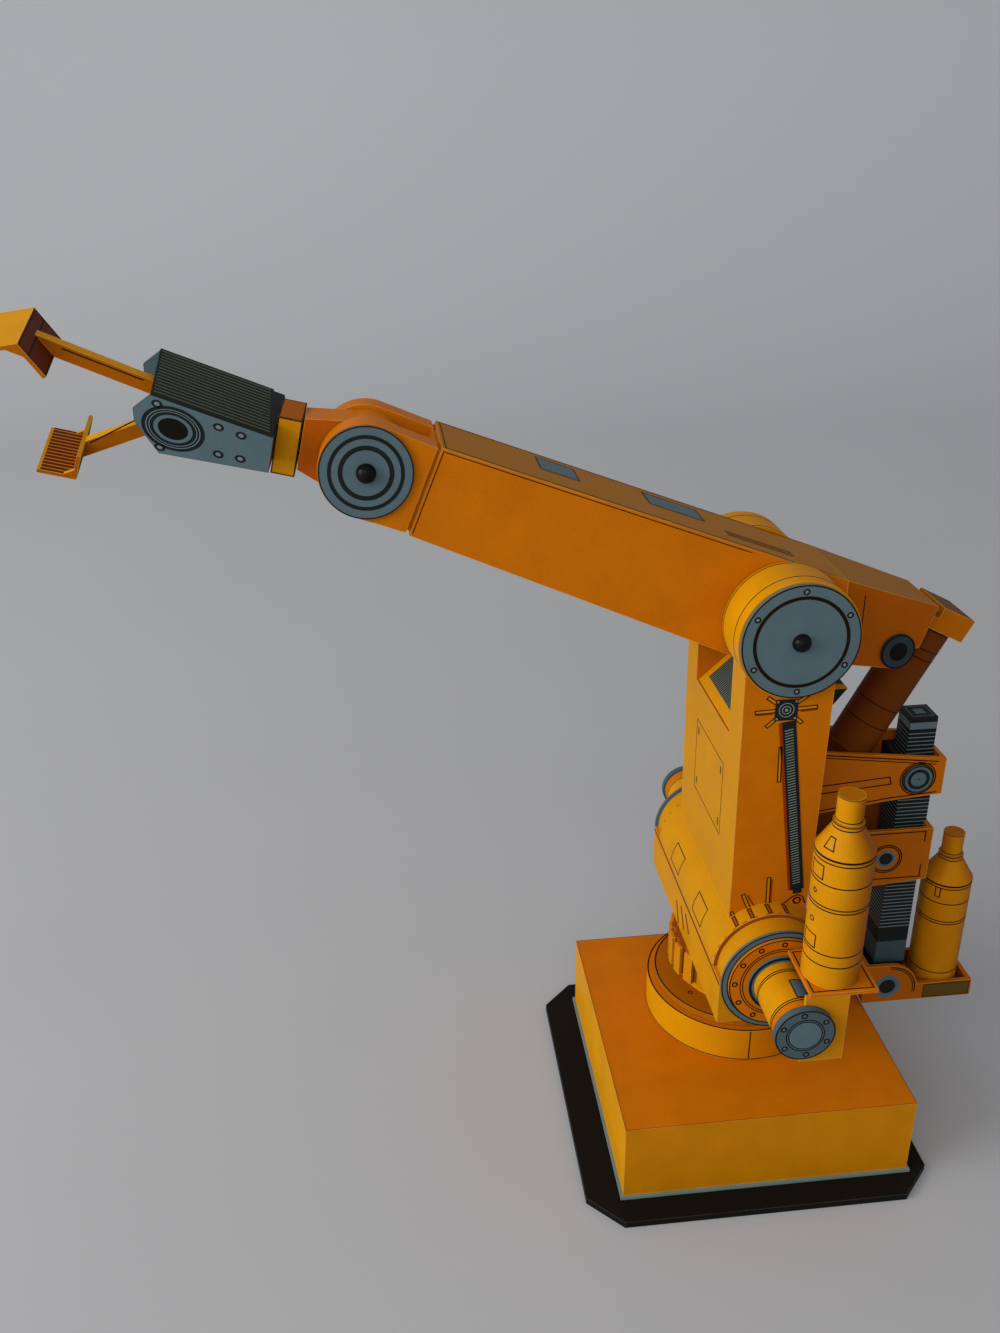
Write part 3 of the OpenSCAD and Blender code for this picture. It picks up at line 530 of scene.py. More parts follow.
def finish_table():
    """Material of every solid of the arm."""
    c = hues()
    orange, yellow, gold, brown, grey, dark = c.orange, c.yellow, c.gold, c.brown, c.grey, c.dark
    # Gold on faces turned away from the window is painted shade, on the housing, the shoulder motor, the
    # far drum and the yellow printed card
    painted_shade_gold = (turned(AHEAD), gold)
    drum_side = bands(away, UP, (24.9, 26.0))
    housing_steps = bands(along, SIDE, (30.5, 31.5), (-31.5, -30.5))
    thread = stripes(UP, 1.2, 0.28)
    # The tops of the jaw arms look nearly the same way as the back plates
    back_limit = 0.96
    found = {
        "base_plate": card("black board", c.black, rim=c.pale, worn=0.25),
        "base_skirt": card("grey strip card", c.strip, rim=c.pale, worn=0.5),
        # Painted light and shade on the base box: yellow on the front towards the window, gold on the
        # other sides and orange on the top
        "base_box": card("yellow card with an orange top", gold, [
            (facing(AHEAD), yellow), (facing(UP), orange)]),
        # The drum's yellow side turns to painted shade on faces turned away from the window
        "turntable_drum": card("orange card with a yellow side", orange, [
            (drum_side, yellow),
            (where_both(drum_side, turned(AHEAD)), mid(orange, gold)),
            (facing(UP), orange)]),
        "turntable_disc": card("shaded orange card", toned(orange, 0.7)),
        "ribbed_boss": card("gold ribbed card with brown grooves", brown, [
            (bands(away, UP, (18.7, 20.5)), gold)]),
        # The housing's yellow is toned down and turns gold as painted shade on faces turned away from
        # the window
        "shoulder_housing": card("yellow drum card with shaded steps", toned(yellow, 0.9), [
            painted_shade_gold, (where_both(housing_steps, facing(SIDE)), brown)]),
        # The upright's yellow front, toned down, is painted light from the window on its orange card
        "upright": card("orange card with a yellow front", orange, [
            (facing(AHEAD), toned(yellow, 0.88))]),
        "shoulder_motor": card("yellow card with an orange band", yellow, [
            painted_shade_gold, (bands(along, SIDE, (54.2, 57)), orange)]),
        "far_drum": card("yellow far drum card", yellow, [
            painted_shade_gold, (bands(along, SIDE, (-60, -55.8)), orange)]),
        "side_motor": card("yellow motor card shaded to orange", mid(yellow, gold), [
            (turned(AHEAD + SIDE * 0.6), toned(orange, 0.58))]),
        "tray_motor": card("gold motor card shaded to orange", gold, [
            (turned(AHEAD * 0.5 + SIDE), toned(orange, 0.52))]),
        "screw_column": card("dark screw card with steel lines", dark, [
            (where_both(thread, bands(along, UP, (52, 130))), c.steel),
            (bands(along, UP, (40, 47.6)), toned(grey, 0.55))], rim=c.black, worn=0.6),
        "screw_top": card("dark screw card with a steel top band", dark, [
            (where_both(thread, bands(along, UP, (90, 117.2))), c.steel),
            (bands(along, UP, (117.9, 119.9)), toned(c.steel, 0.8))], rim=c.black, worn=0.6),
        "gripper_cover": card("dark gripper cover card", dark, rim=c.black, worn=0.6),
        "elbow_bellows": bellows_card(),
        "forearm_box": card("orange card with a shaded top", orange, [
            (facing(ARM_UP), toned(gold, 0.66))]),
        # The ears' orange is mixed towards rust and toned down as painted shade of the elbow drum's
        # shadow
        "rear_ears": card("orange ear card with a shaded roof", toned(mid(orange, c.rust), 0.95), [
            (facing(UP), toned(gold, 0.56))]),
        "link_head": card("orange block card with a shaded top", toned(orange, 0.8), [
            (facing(UP), toned(gold, 0.24))]),
        # The block's darkened orange brown top is painted shade
        "flange_block": card("yellow card with a brown top", brown, [
            (facing(ARM_UP), toned(mid(orange, brown), 0.8)), (facing(SIDE), yellow)]),
        "wrist_tongue": card("rust orange card with an orange top", mid(orange, c.rust), [
            (facing(ARM_UP), orange)]),
        "link_rings": card("dark ring card", toned(grey, 0.3), rim=c.black, worn=0.5),
        # The jaws' backs are painted shade, and their sides are orange toned down as painted shade,
        # darker on the lower jaw
        "upper_jaw": card("yellow jaw card with a brown back", yellow, [
            (facing(jaw_back(UPPER_JAW), back_limit), c.maroon),
            (facing(JAW_SIDE), toned(orange, 0.8))]),
        "lower_jaw": card("yellow jaw card with a shaded back", yellow, [
            (facing(jaw_back(LOWER_JAW), back_limit), brown),
            (facing(JAW_SIDE), toned(orange, 0.65))]),
    }
    groups = (
        (card("orange printed card", orange), "bolt_ring motor_shelf wrist_ears"),
        (card("yellow printed card", yellow, [painted_shade_gold]), "turntable_collar shelf_plate elbow_drums"),
        # One orange brown card in two copies: painted light on the lever, painted shade on the bracket
        # and the tray
        (card("orange brown lever card", toned(mid(orange, brown), 1.2)), "top_lever"),
        (card("orange brown drive card", toned(mid(orange, brown), 0.95)), "mid_bracket screw_tray"),
        # The link tube's brown is toned down as painted shade under the forearm
        (card("brown link card", toned(brown, 0.5)), "link_tube"),
        (card("grey blue printed card", grey, rim=dark),
         "flange_ring motor_ring lever_pivots elbow_discs wrist_discs gripper_plates"),
        (card("dark grey cap card", toned(grey, 0.72), rim=dark), "motor_cap far_disc"),
        (card("dark printed card", dark, rim=c.black, worn=0.5), "lever_nut"),
        (enamel("black pin enamel", c.pin), "elbow_pin wrist_pin link_pin jaw_pin"),
    )
    for material, names in groups:
        found.update({node: material for node in names.split()})
    return found


def bellows_card():
    """Dark hatched sheet with a yellow border along its foot and sides."""
    c = hues()
    low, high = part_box("elbow_bellows")
    half, foot = high.y / MM, low.z / MM
    foot_border, side_border = 1.9, 2.6
    tilt = math.radians(43)
    sheet = facing(Vector((math.sin(tilt), 0, math.cos(tilt))))
    sides = bands(along, SIDE, (-half, side_border - half), (half - side_border, half))
    return card("hatched bellows card", c.dark, [
        (where_both(sheet, stripes(SIDE, 0.9, 0.25)), c.pale),
        (where_both(sheet, bands(along, UP, (foot, foot + foot_border))), c.yellow),
        (where_both(sheet, sides), c.yellow)], worn=0.5)


class CARDARM_OT_finishes(bpy.types.Operator):
    """Gives every solid its printed card finish"""
    bl_idname = "card_arm.finishes"
    bl_label = "Card finishes"

    def execute(self, context):
        found = finish_table()
        for name, node in NODES.items():
            node.data.materials.clear()
            node.data.materials.append(found[name])
        return {"FINISHED"}


# Prints

def bolt_heads(at, spots, radius):
    """Dark rings and pale centres of a set of printed bolts."""
    rims = [ring(at, x, y, radius, radius * 0.5, 20) for x, y in spots]
    heads = [disc(at, x, y, radius * 0.5, 14) for x, y in spots]
    return rims, heads


class CARDARM_OT_discs(bpy.types.Operator):
    """Prints the rings and bolts on the elbow and wrist discs and the shoulder flanges"""
    bl_idname = "card_arm.discs"
    bl_label = "Disc prints"

    def execute(self, context):
        bolt, line = sizes().bolt / MM, sizes().line / MM
        elbow_circle, flange_circle, cap_circle = 12.8, 11.9, 6.1
        for side, word in SIDES:
            at, z = end_face("elbow_discs", side), ELBOW.z / MM
            rims, heads = bolt_heads(at, around(0, z, elbow_circle, 6), bolt)
            rims += rings(at, 0, z, 72, (11.75, 0.85), (14.5, line))
            printed("elbow_rings_" + word, rims, "ink")
            printed("elbow_bolts_" + word, heads, "steel")
            at, x, z = end_face("wrist_discs", side), -WRIST.x / MM * side, WRIST.z / MM
            dark_rings = rings(at, x, z, 64, (10.7, 0.3), (8.65, 0.85), (6.3, 1.05))
            printed("wrist_rings_" + word, dark_rings, "dark", "forearm")
            x, z = -SHOULDER.x / MM * side, SHOULDER.z / MM
            at = end_face("bolt_ring", side)
            rims, heads = bolt_heads(at, around(x, z, flange_circle, 12, 88), bolt)
            rims += rings(at, x, z, 72, (13.4, 0.3), (10.6, 0.25), (9.95, 0.25))
            rims += rings(end_face("flange_ring", side), x, z, 72, (15.2, 0.3), (13.75, 0.3))
            printed("flange_rings_" + word, rims, "ink")
            printed("flange_bolts_" + word, heads, "orange")
            seat = rings(end_face("motor_ring", side), x, z, 56, (8.4, 0.75))
            printed("motor_seat_ring_" + word, seat, "dark")
            at = end_face("motor_cap") if side > 0 else flank(-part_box("far_disc")[0].y, side)
            rims, heads = bolt_heads(at, around(x, z, cap_circle, 6, 97), bolt)
            rims += rings(at, x, z, 48, (7.55, 0.3), (4.9, 0.25), (4.3, 0.25))
            printed("cap_rings_" + word, rims, "ink")
            heads.append(disc(at, x, z, 4.05))
            printed("cap_bolts_" + word, heads, "grey")
        return {"FINISHED"}


class CARDARM_OT_upright(bpy.types.Operator):
    """Prints the panel, the hose with its fittings and the pipes on the upright"""
    bl_idname = "card_arm.upright"
    bl_label = "Upright prints"

    def execute(self, context):
        line, fine = widths()
        # The front leans forward a little as it rises
        front_x, front_slope = 10.507, 0.012075
        front = face((front_x * MM, 0, 0), SIDE, (front_slope, 0, 1))
        parts = outline(front, box_of(-13, 95, 13, 116.5), fine)
        rivet = 0.55
        for x, z in ((-11, 113.6), (11, 113.6), (11, 97.9), (-11, 97.9)):
            parts += [ring(front, x, z + rise, rivet, 0.25, 12) for rise in (rivet, -rivet)]
        printed("front_panel_lines", parts, "ink")
        near = end_face("upright")
        hub = Vector((-1.36, 138.2))
        hose_top, hose_end = Vector((-0.4, 135.0)), Vector((6.3, 84.9))
        run = (hose_end - hose_top).normalized()
        side = Vector((-run.y, run.x))
        arms = [Vector(tip) for tip in (
            (-7.8, -0.3), (7.7, 0.4), (-4.9, 3.6), (5.2, 3.7), (-4.7, -4.4), (4.2, -3.8))]
        strips = [(hub + tip * 0.3, hub + tip, 0.85) for tip in arms]
        strips += [((-1.9, 128.0), (-1.5, 118.0), 0.8), ((-5.6, 78.0), (-8.2, 84.4), 0.9),
                   ((-1.3, 79.4), (-1.6, 89.2), 0.9), ((-9.6, 76.4), (-11.0, 79.1), 0.8)]
        fills = [bar(near, *strip) for strip in strips]
        printed("fitting_and_pipe_fills", fills, "gold")
        over = raised(near, OVER)
        lines = []
        for strip in strips:
            lines += outline(over, sides_of(*strip), THIN)
        lug = [(1.4, 80.2), (3.4, 80.9), (5.0, 82.4), (6.6, 83.1), (8.0, 82.5), (8.8, 80.4)]
        lines += outline(over, lug, line, closed=False)
        lines.append(ring(over, 6.57, 81.3, 1.15, 0.45, 20))
        printed("fitting_and_pipe_outlines", lines, "ink")
        drop = Vector((0.15, -0.75))
        shade = [bar(near, hose_top - side * 2.1, hose_end - side * 1.9, 1.0),
                 bar(near, (-0.55, 80.2), (-0.8, 88.6), 0.5),
                 bar(near, (-4.6, 80.0), (-6.9, 84.0), 0.45)]
        shade += [bar(near, hub + tip * 0.45 + drop, hub + tip + drop, 0.45) for tip in arms[:2]]
        printed("hose_shadow", shade, "rust")
        hose_film, half_fitting = 0.12, Vector((2.85, 0))
        parts = [bar(near, hose_top, hose_end, 3.5),
                 bar(near, hub - half_fitting, hub + half_fitting, 5.7),
                 bar(near, hose_end, hose_end + run * 1.3, 2.3)]
        printed("hose_and_fitting", parts, "dark", film=hose_film)
        over = raised(near, hose_film)
        reach, pitch, lean = (hose_end - hose_top).length, 0.78, run * 0.12
        ticks = []
        for i in range(int((reach - 3.2) / pitch)):
            middle = hose_top + run * (2.4 + i * pitch)
            ticks.append(bar(over, middle - side * 1.2 + lean, middle + side * 0.9 - lean, 0.22))
        ticks += [ring(over, hub.x, hub.y, 1.95, 0.2, 28), ring(over, hub.x, hub.y, 1.15, 0.22, 24),
                  disc(over, hub.x, hub.y, 0.42, 12)]
        corner = 2.3
        ticks += [disc(over, hub.x + dx, hub.y + dz, 0.3, 8)
                  for dx in (-corner, corner) for dz in (-corner, corner)]
        printed("hose_ticks", ticks, "pale")
        return {"FINISHED"}


class CARDARM_OT_forearm(bpy.types.Operator):
    """Prints the plates and slots on the forearm's top and the lines along its edges"""
    bl_idname = "card_arm.forearm"
    bl_label = "Forearm prints"

    def execute(self, context):
        line, fine = widths()
        # The top falls a little towards the wrist
        top_rise, top_fall = 14.224, 0.03341
        top = face(ELBOW + ARM_UP * top_rise * MM, ARM - ARM_UP * top_fall, SIDE)
        plates = ((58, -9.4, 68, 1.4), (24.3, -9.2, 39.2, 0.4))
        fills = [patch(top, *plate) for plate in plates]
        printed("top_plates", fills, "grey", "forearm")
        over = raised(top, OVER)
        lines = []
        for plate in plates:
            lines += outline(over, box_of(*plate), line)
        for v in (3.2, 5.6):
            lines += outline(over, box_of(1.5, v, 19.5, v + 1.0), fine)
        edge_v, front_u = 12.3, 92.6
        lines += [bar(over, (-8, v), (92.8, v), fine) for v in (edge_v, -edge_v)]
        lines.append(bar(over, (front_u, -edge_v), (front_u, edge_v), fine))
        printed("forearm_top_lines", lines, "ink", "forearm")
        near_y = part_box("forearm_box")[1].y
        for side, word in SIDES:
            at = face(ELBOW + SIDE * near_y * side, -ARM * side, ARM_UP)
            lines = [bar(at, (-front_u * side, 10.4), (-15 * side, 12.9), fine),
                     bar(at, (-92.9 * side, 10.6), (-92.9 * side, -10.0), fine)]
            printed("forearm_lines_" + word, lines, "ink", "forearm")
        return {"FINISHED"}


class CARDARM_OT_gripper(bpy.types.Operator):
    """Prints the pivot rings, the bolts and the cover's ribs on the gripper"""
    bl_idname = "card_arm.gripper"
    bl_label = "Gripper prints"

    def execute(self, context):
        spots = [(25.4, -1.5), (22.5, -11.1), (11.8, -1.9), (6.7, -2.0), (10.2, -8.1), (5.4, -7.4)]
        pivot, bolt = Vector((20.8, -5.9)), 1.05
        for side, word in SIDES:
            shift = 0.0 if side > 0 else GRIP_SKEW
            at = face(GRIP + (GRIP_SIDE * GRIP_HALF * side + ARM * shift) * MM, -ARM * side, GRIP_UP)
            over = raised(at, OVER)
            x, z = -pivot.x * side, pivot.y
            rims, heads = bolt_heads(at, [(-u * side, w) for u, w in spots], bolt)
            rims.append(disc(at, x, z, 6.0, 56))
            heads += rings(over, x, z, 56, (5.2, 0.18), (4.6, 0.15))
            seat, bore = rings(over, x, z, 56, (3.7, 0.8)), [disc(over, x, z, 2.8)]
            for name, parts, key in (("rings", rims, "dark"), ("bolts", heads, "steel"),
                                     ("seat", seat, "grey"), ("bore", bore, "black")):
                printed("gripper_%s_%s" % (name, word), drawn_out(parts), key, "wrist")
        top = face(GRIP + GRIP_UP * 0.4 * MM, ARM, GRIP_SIDE)
        rib_count, margin = 15, 1.5
        ribs = []
        for i in range(rib_count):
            v = (GRIP_HALF - margin) * (1 - 2 * i / (rib_count - 1))
            set_on = GRIP_SKEW * (GRIP_HALF - v) / (2 * GRIP_HALF)
            ribs.append(bar(top, (1.0 + set_on, v), (26.7 + set_on, v), 0.56))
        printed("cover_ribs", ribs, "olive", "wrist", film=0.1)
        lean = math.radians(9)
        tall = GRIP_UP * math.cos(lean) + ARM * math.sin(lean)
        deep = ARM * math.cos(lean) - GRIP_UP * math.sin(lean)
        middle = GRIP - (ARM * 3.48 + GRIP_UP * 4.4) * MM
        half_t, half_w, half_h = 2.6, 5.25, 6.85
        lines = []
        for side, _ in SIDES:
            at = face(middle + GRIP_SIDE * 5.4 * side * MM, -deep * side, tall)
            lines += outline(at, box_of(-half_t, -half_h, half_t, half_h), THIN)
        top = face(middle + tall * 7.0 * MM, deep, GRIP_SIDE)
        lines += outline(top, box_of(-half_t, -half_w, half_t, half_w), THIN)
        printed("block_lines", lines, "ink", "wrist")
        return {"FINISHED"}


# Height of the jaws' fold over the line of their arms
FOLD_OUT = 4.7
# Angle, outward side, reach to the fold, run of the back plate and sideways place of each jaw
UPPER_JAW = (4.8, 1, 34.6, 7.2, -0.25)
LOWER_JAW = (-39.0, -1, 25.6, 3.6, 3.05)


def jaw_lines(jaw):
    """Directions of a jaw: along its arm, and outwards from the mouth."""
    turn = math.radians(jaw[0])
    run = JAW_AHEAD * math.cos(turn) + GRIP_UP * math.sin(turn)
    lift = GRIP_UP * math.cos(turn) - JAW_AHEAD * math.sin(turn)
    return run, lift * jaw[1]


def jaw_back(jaw):
    """Way that the back plate of a jaw looks."""
    run, out = jaw_lines(jaw)
    plate = (run * jaw[3] + out * FOLD_OUT).normalized()
    return -(run - plate * run.dot(plate)).normalized()


class CARDARM_OT_jaws(bpy.types.Operator):
    """Prints the ribs on the jaw pads and the lines of the jaw arms"""
    bl_idname = "card_arm.jaws"
    bl_label = "Jaw prints"

    def execute(self, context):
        fine = sizes().fine / MM
        pad_run, wall, rib_count = 7.0, 0.9, 13
        field_half, ribs_half, back_half, root = 10.6, 9.5, 10.3, 8.5
        for word, jaw in (("upper", UPPER_JAW), ("lower", LOWER_JAW)):
            run, out = jaw_lines(jaw)
            sign, reach, back, place = jaw[1:]
            body = "jaw_" + word
            fold = JAWS + (run * reach + out * FOLD_OUT) * MM
            tip = JAWS + run * (reach + pad_run) * MM
            heel = JAWS + run * (reach - back) * MM
            down = (tip - fold).normalized()
            inner = -(out - down * out.dot(down)).normalized()
            long = (tip - fold).length / MM
            at = facing_frame((fold + tip) / 2 + inner * wall * MM, down, inner)
            field = [bar(at, (-field_half, 0.2), (field_half, 0.2), long - 1.8)]
            printed(word + "_pad_field", field, "maroon", body)
            over = raised(at, 0.03)
            spots = [ribs_half * (2 * i / (rib_count - 1) - 1) for i in range(rib_count)]
            ribs = [bar(over, (x, 1.1 - long / 2), (x, long / 2 - 0.7), 0.36) for x in spots]
            printed(word + "_pad_ribs", ribs, "gold", body, film=0.05)
            at = facing_frame((fold + heel) / 2, (fold - heel).normalized(), jaw_back(jaw))
            high = (fold - heel).length / MM / 2
            lines = outline(at, box_of(-back_half, 0.4 - high, back_half, high - 0.4), fine)
            lines.append(bar(at, (-back_half, high * 0.25), (back_half, high * 0.25), 0.4))
            printed(word + "_back_lines", lines, "ink", body)
            at = face(JAWS + JAW_SIDE * place * MM, -run, out * sign)
            heel_rise, root_rise = (2.5, 2.5) if sign > 0 else (-0.6, 1.1)
            lines = [bar(at, (back - reach + 0.8, heel_rise), (-root, root_rise), 0.3)]
            printed(word + "_arm_line", lines, "ink", body)
        return {"FINISHED"}


class CARDARM_OT_drive(bpy.types.Operator):
    """Prints the rings, slots and borders on the lever, the bracket, the tray and the screw"""
    bl_idname = "card_arm.drive"
    bl_label = "Drive prints"

    def execute(self, context):
        line, fine = widths()
        slot = ((13.5, 104.6), (36.2, 106.3), (36.8, 104.1), (13.6, 102.2))
        borders = (
            ((12.5, 115.0), (49.4, 110.2), line), ((12.5, 114.2), (48.8, 109.4), fine),
            ((12.5, 96.4), (36, 99.6), line), ((36, 99.6), (50, 100.7), line),
            ((32, 88.0), (49.2, 88.0), line), ((32, 73.0), (49.4, 73.0), line),
            ((49.0, 87.8), (49.0, 84.6), line), ((49.0, 77.0), (49.0, 73.2), line))
        lever_z, bracket_z, tray_z = 105.3, 79.65, 33.9
        panel_low, panel_high = 28.8, 33.4
        for side, word in SIDES:
            lever_x, bracket_x, tray_x, bow_x, panel_x, panel_end = [
                x * side for x in (44.2, 38.5, 44.7, 45, 56.2, 70.3)]
            at = raised(end_face("top_lever", side), OVER)
            lines = outline(at, [(x * side, z) for x, z in slot], line, closed=False)
            for start, end, width in borders:
                lines.append(bar(at, (start[0] * side, start[1]), (end[0] * side, end[1]), width))
            lines += rings(at, lever_x, lever_z, 40, (5.1, line), (4.55, line))
            lines += rings(at, bracket_x, bracket_z, 40, (4.7, line), (4.1, line))
            turns = (88, -8) if side > 0 else (92, 188)
            lines += arc(at, bow_x, 32.5, 8.3, line, *turns) + arc(at, bow_x, 32.5, 7.7, fine, *turns)
            lines += outline(at, box_of(panel_x, panel_low, panel_end, panel_high), fine)
            printed("drive_lines_" + word, lines, "ink")
            at = end_face("top_lever", side)
            rims = [ring(at, bracket_x, bracket_z, 2.7, 0.8), ring(at, tray_x, tray_z, 4.0, 1.6)]
            printed("drive_rings_" + word, rims, "grey")
            holes = [disc(at, bracket_x, bracket_z, 1.95), disc(at, tray_x, tray_z, 2.5)]
            printed("drive_dark_fields_" + word, holes, "dark")
            panel = [patch(at, panel_x, panel_low, panel_end, panel_high)]
            printed("tray_panel_" + word, panel, "khaki")
            pivot = end_face("lever_pivots", side)
            rims = rings(pivot, lever_x, lever_z, 40, (4.2, 0.35), (3.1, 0.9))
            rims.append(disc(pivot, lever_x, lever_z, 0.25, 12))
            printed("lever_pivot_rings_" + word, rims, "dark")
        low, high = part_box("screw_top")
        middle = (low.x + high.x) / 2 / MM
        rim, cap = [(middle - half, -half, middle + half, half) for half in (2.9, 1.4)]
        lines = outline(top_face(high.z), box_of(*rim), 0.3) + [patch(top_face(high.z), *cap)]
        printed("screw_top_print", lines, "grey")
        printed("shelf_lines", border("motor_shelf", 0.9, line), "ink")
        return {"FINISHED"}


def border(name, inset, width):
    """Line round the top of a square solid, set in from its edges."""
    low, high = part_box(name)
    corners = box_of(low.x / MM + inset, low.y / MM + inset, high.x / MM - inset, high.y / MM - inset)
    return outline(top_face(high.z), corners, width)


def standing(name):
    """Foot, radius and height of a standing motor."""
    low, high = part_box(name)
    foot = Vector(((low.x + high.x) / 2, (low.y + high.y) / 2, low.z))
    return foot, (high.x - low.x) / 2 / MM, (high.z - low.z) / MM


class CARDARM_OT_motors(bpy.types.Operator):
    """Prints the lines and panels on the standing motors and the shoulder motors"""
    bl_idname = "card_arm.motors"
    bl_label = "Motor prints"

    def execute(self, context):
        line = sizes().line / MM
        neck, band, cone = 6.9, 1.4, 6.0
        for name, throat, heights in (
                ("side_motor", 3.2, (6.4, 9.6, 22.2, 23.1, 29.2, 35.3)),
                ("tray_motor", 2.9, (6.5, 24.2, 25.1, 31.2, 36.4))):
            foot, radius, tall = standing(name)
            rim, collar, throat_foot = tall - neck - band - cone, throat + 0.5, tall - neck
            hoops = [(radius, z, line) for z in heights] + [(radius, rim - 0.3, 0.55)]
            hoops += [(collar, throat_foot - 0.2, 0.3), (collar, throat_foot - band + 0.2, 0.3),
                      (throat, throat_foot + 0.7, 0.25), (throat, tall - 0.15, 0.2)]
            parts = [hoop(foot + UP * z * MM, UP, r, w) for r, z, w in hoops]
            printed(name + "_lines", parts, "ink")
        foot, radius, _ = standing("side_motor")
        at = round_face(foot, radius, 12)
        parts = outline(at, box_of(-2.2, 30.2, 2.2, 33.9), line, cuts=3)
        parts += outline(at, box_of(-2.4, 10.4, 2.2, 14.0), line, cuts=3)
        parts += [ring(at, 0.1, 26.2, 0.7, 0.28, 16), ring(at, 0.2, 18.1, 0.8, 0.28, 16)]
        printed("side_motor_panels", parts, "ink", wrap="side_motor")
        cone_spot, cone_look = Vector((5.0, 2.6, 39.6)), Vector((0.89, 0.46, 0))
        tilt = facing_frame(foot + cone_spot * MM, UP, cone_look)
        parts = outline(tilt, [(-1.2, -1.6), (1.4, -1.6), (0.8, 1.8), (-0.9, 1.8)], line, cuts=2)
        printed("side_motor_cone_panel", parts, "ink", wrap="side_motor")
        foot, radius, _ = standing("tray_motor")
        at = round_face(foot, radius, 46)
        parts = outline(at, box_of(-0.7, 33.2, 0.7, 36.4), line, cuts=2)
        printed("tray_motor_tab", parts, "ink", wrap="tray_motor")
        barrel = 7.0
        hoops = [hoop(SHOULDER + SIDE * y * MM, SIDE, barrel, 0.3)
                 for y in (42.6, 43.3, 53.4, 54.1, -42.6, -43.3, -55.2)]
        printed("shoulder_motor_lines", hoops, "ink")
        at = lying_face(SHOULDER, barrel, 101)
        plate = (46.7, -2.1, 53.0, 2.1)
        fill = [patch(at, *plate, cuts=4)]
        printed("motor_plate", fill, "grey", wrap="shoulder_motor")
        over = raised(at, 0.05)
        parts = outline(over, box_of(*plate), THIN, cuts=3)
        parts += [disc(over, y, 1.2, 0.3, 10) for y in (48, 51.6)]
        printed("motor_plate_lines", parts, "ink", wrap="shoulder_motor", film=0.08)
        return {"FINISHED"}


class CARDARM_OT_housing(bpy.types.Operator):
    """Prints the vents, panels, fold line and pipe stubs on the shoulder housing"""
    bl_idname = "card_arm.housing"
    bl_label = "Housing prints"

    def execute(self, context):
        line, fine = widths()
        radius, fold_half, fold_z, shade_z = 15.4, 37.3, 65.2, 64.75
        front = face((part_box("shoulder_housing")[1].x, 0, 0), SIDE, UP)
        shades = [bar(front, (-fold_half, shade_z), (fold_half, shade_z), 0.6)]
        lines = []
        aside = Vector((0.45, 0.3))
        vents = (((-7.4, 59.2), (-4.2, 53.2)), ((-2.5, 60.7), (1.8, 55.3)), ((2.4, 61.6), (6.9, 57.8)))
        for start, end in vents:
            shades.append(bar(front, start, end, 0.9))
            lines.append(bar(front, Vector(start) + aside, Vector(end) + aside, line))
        lines.append(bar(front, (-fold_half, fold_z), (fold_half, fold_z), fine))
        printed("housing_vents", lines, "ink")
        printed("housing_fold_shade", shades, "rust")
        at = lying_face(SHOULDER, radius, 18.5)
        panel_half = 2.95
        lines = outline(at, box_of(-16.5, -panel_half, -7.9, panel_half), line, cuts=4)
        lines += outline(at, box_of(8.3, -panel_half, 16.8, panel_half), line, cuts=4)
        printed("housing_panels", lines, "ink", wrap="shoulder_housing")
        rim_y, rim_half = 30.6, 0.14
        edges = [bar(lying_face(SHOULDER, radius, 6 + 12 * i), (y - rim_half, 0), (y + rim_half, 0), 3.3)
                 for i in range(15) for y in (rim_y, -rim_y)]
        printed("housing_rim_lines", edges, "rust", wrap="shoulder_housing")
        stub = (26.6, -0.45, 30.4, 0.45)
        fills, lines = [], []
        for degrees in (52, 69, 87, 104):
            at = lying_face(SHOULDER, radius, degrees)
            fills.append(patch(at, *stub))
            lines += outline(raised(at, OVER), box_of(*stub), THIN)
        printed("pipe_stub_fills", fills, "brown")
        printed("pipe_stub_lines", lines, "ink")
        return {"FINISHED"}


class CARDARM_OT_turntable(bpy.types.Operator):
    """Prints the lines and rivets of the turntable, and the lines of the elbow drums and the base"""
    bl_idname = "card_arm.turntable"
    bl_label = "Turntable and drum lines"

    def execute(self, context):
        line = sizes().line / MM
        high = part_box("turntable_disc")[1]
        at = top_face(high.z)
        rivets = [ring(at, x, y, 0.7, 0.28, 16) for x, y in around(0, 0, 18.4, 6, 32)]
        rivets.append(ring(at, 0, 0, high.x / MM, 0.4, 96))
        printed("disc_rivets", rivets, "ink")
        low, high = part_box("turntable_drum")
        at = top_face(high.z)
        drum_r = high.x / MM
        rims = [ring(at, 0, 0, drum_r, 0.4, 96), hoop((0, 0, low.z + 0.3 * MM), UP, drum_r, 0.3, 96)]
        seam = round_face(Vector((0, 0, 0)), drum_r, 85)
        rims.append(bar(seam, (0, low.z / MM + 0.4), (0, high.z / MM - 0.3), line))
        printed("drum_lines", rims, "ink", "base")
        rims = [hoop(ELBOW + SIDE * y * MM, SIDE, 15.0, 0.28) for y in (23.4, 14.4, -23.4, -14.4)]
        printed("elbow_drum_lines", rims, "ink")
        printed("base_edge_lines", border("base_box", 0.1, 0.2), "brown", "base")
        return {"FINISHED"}


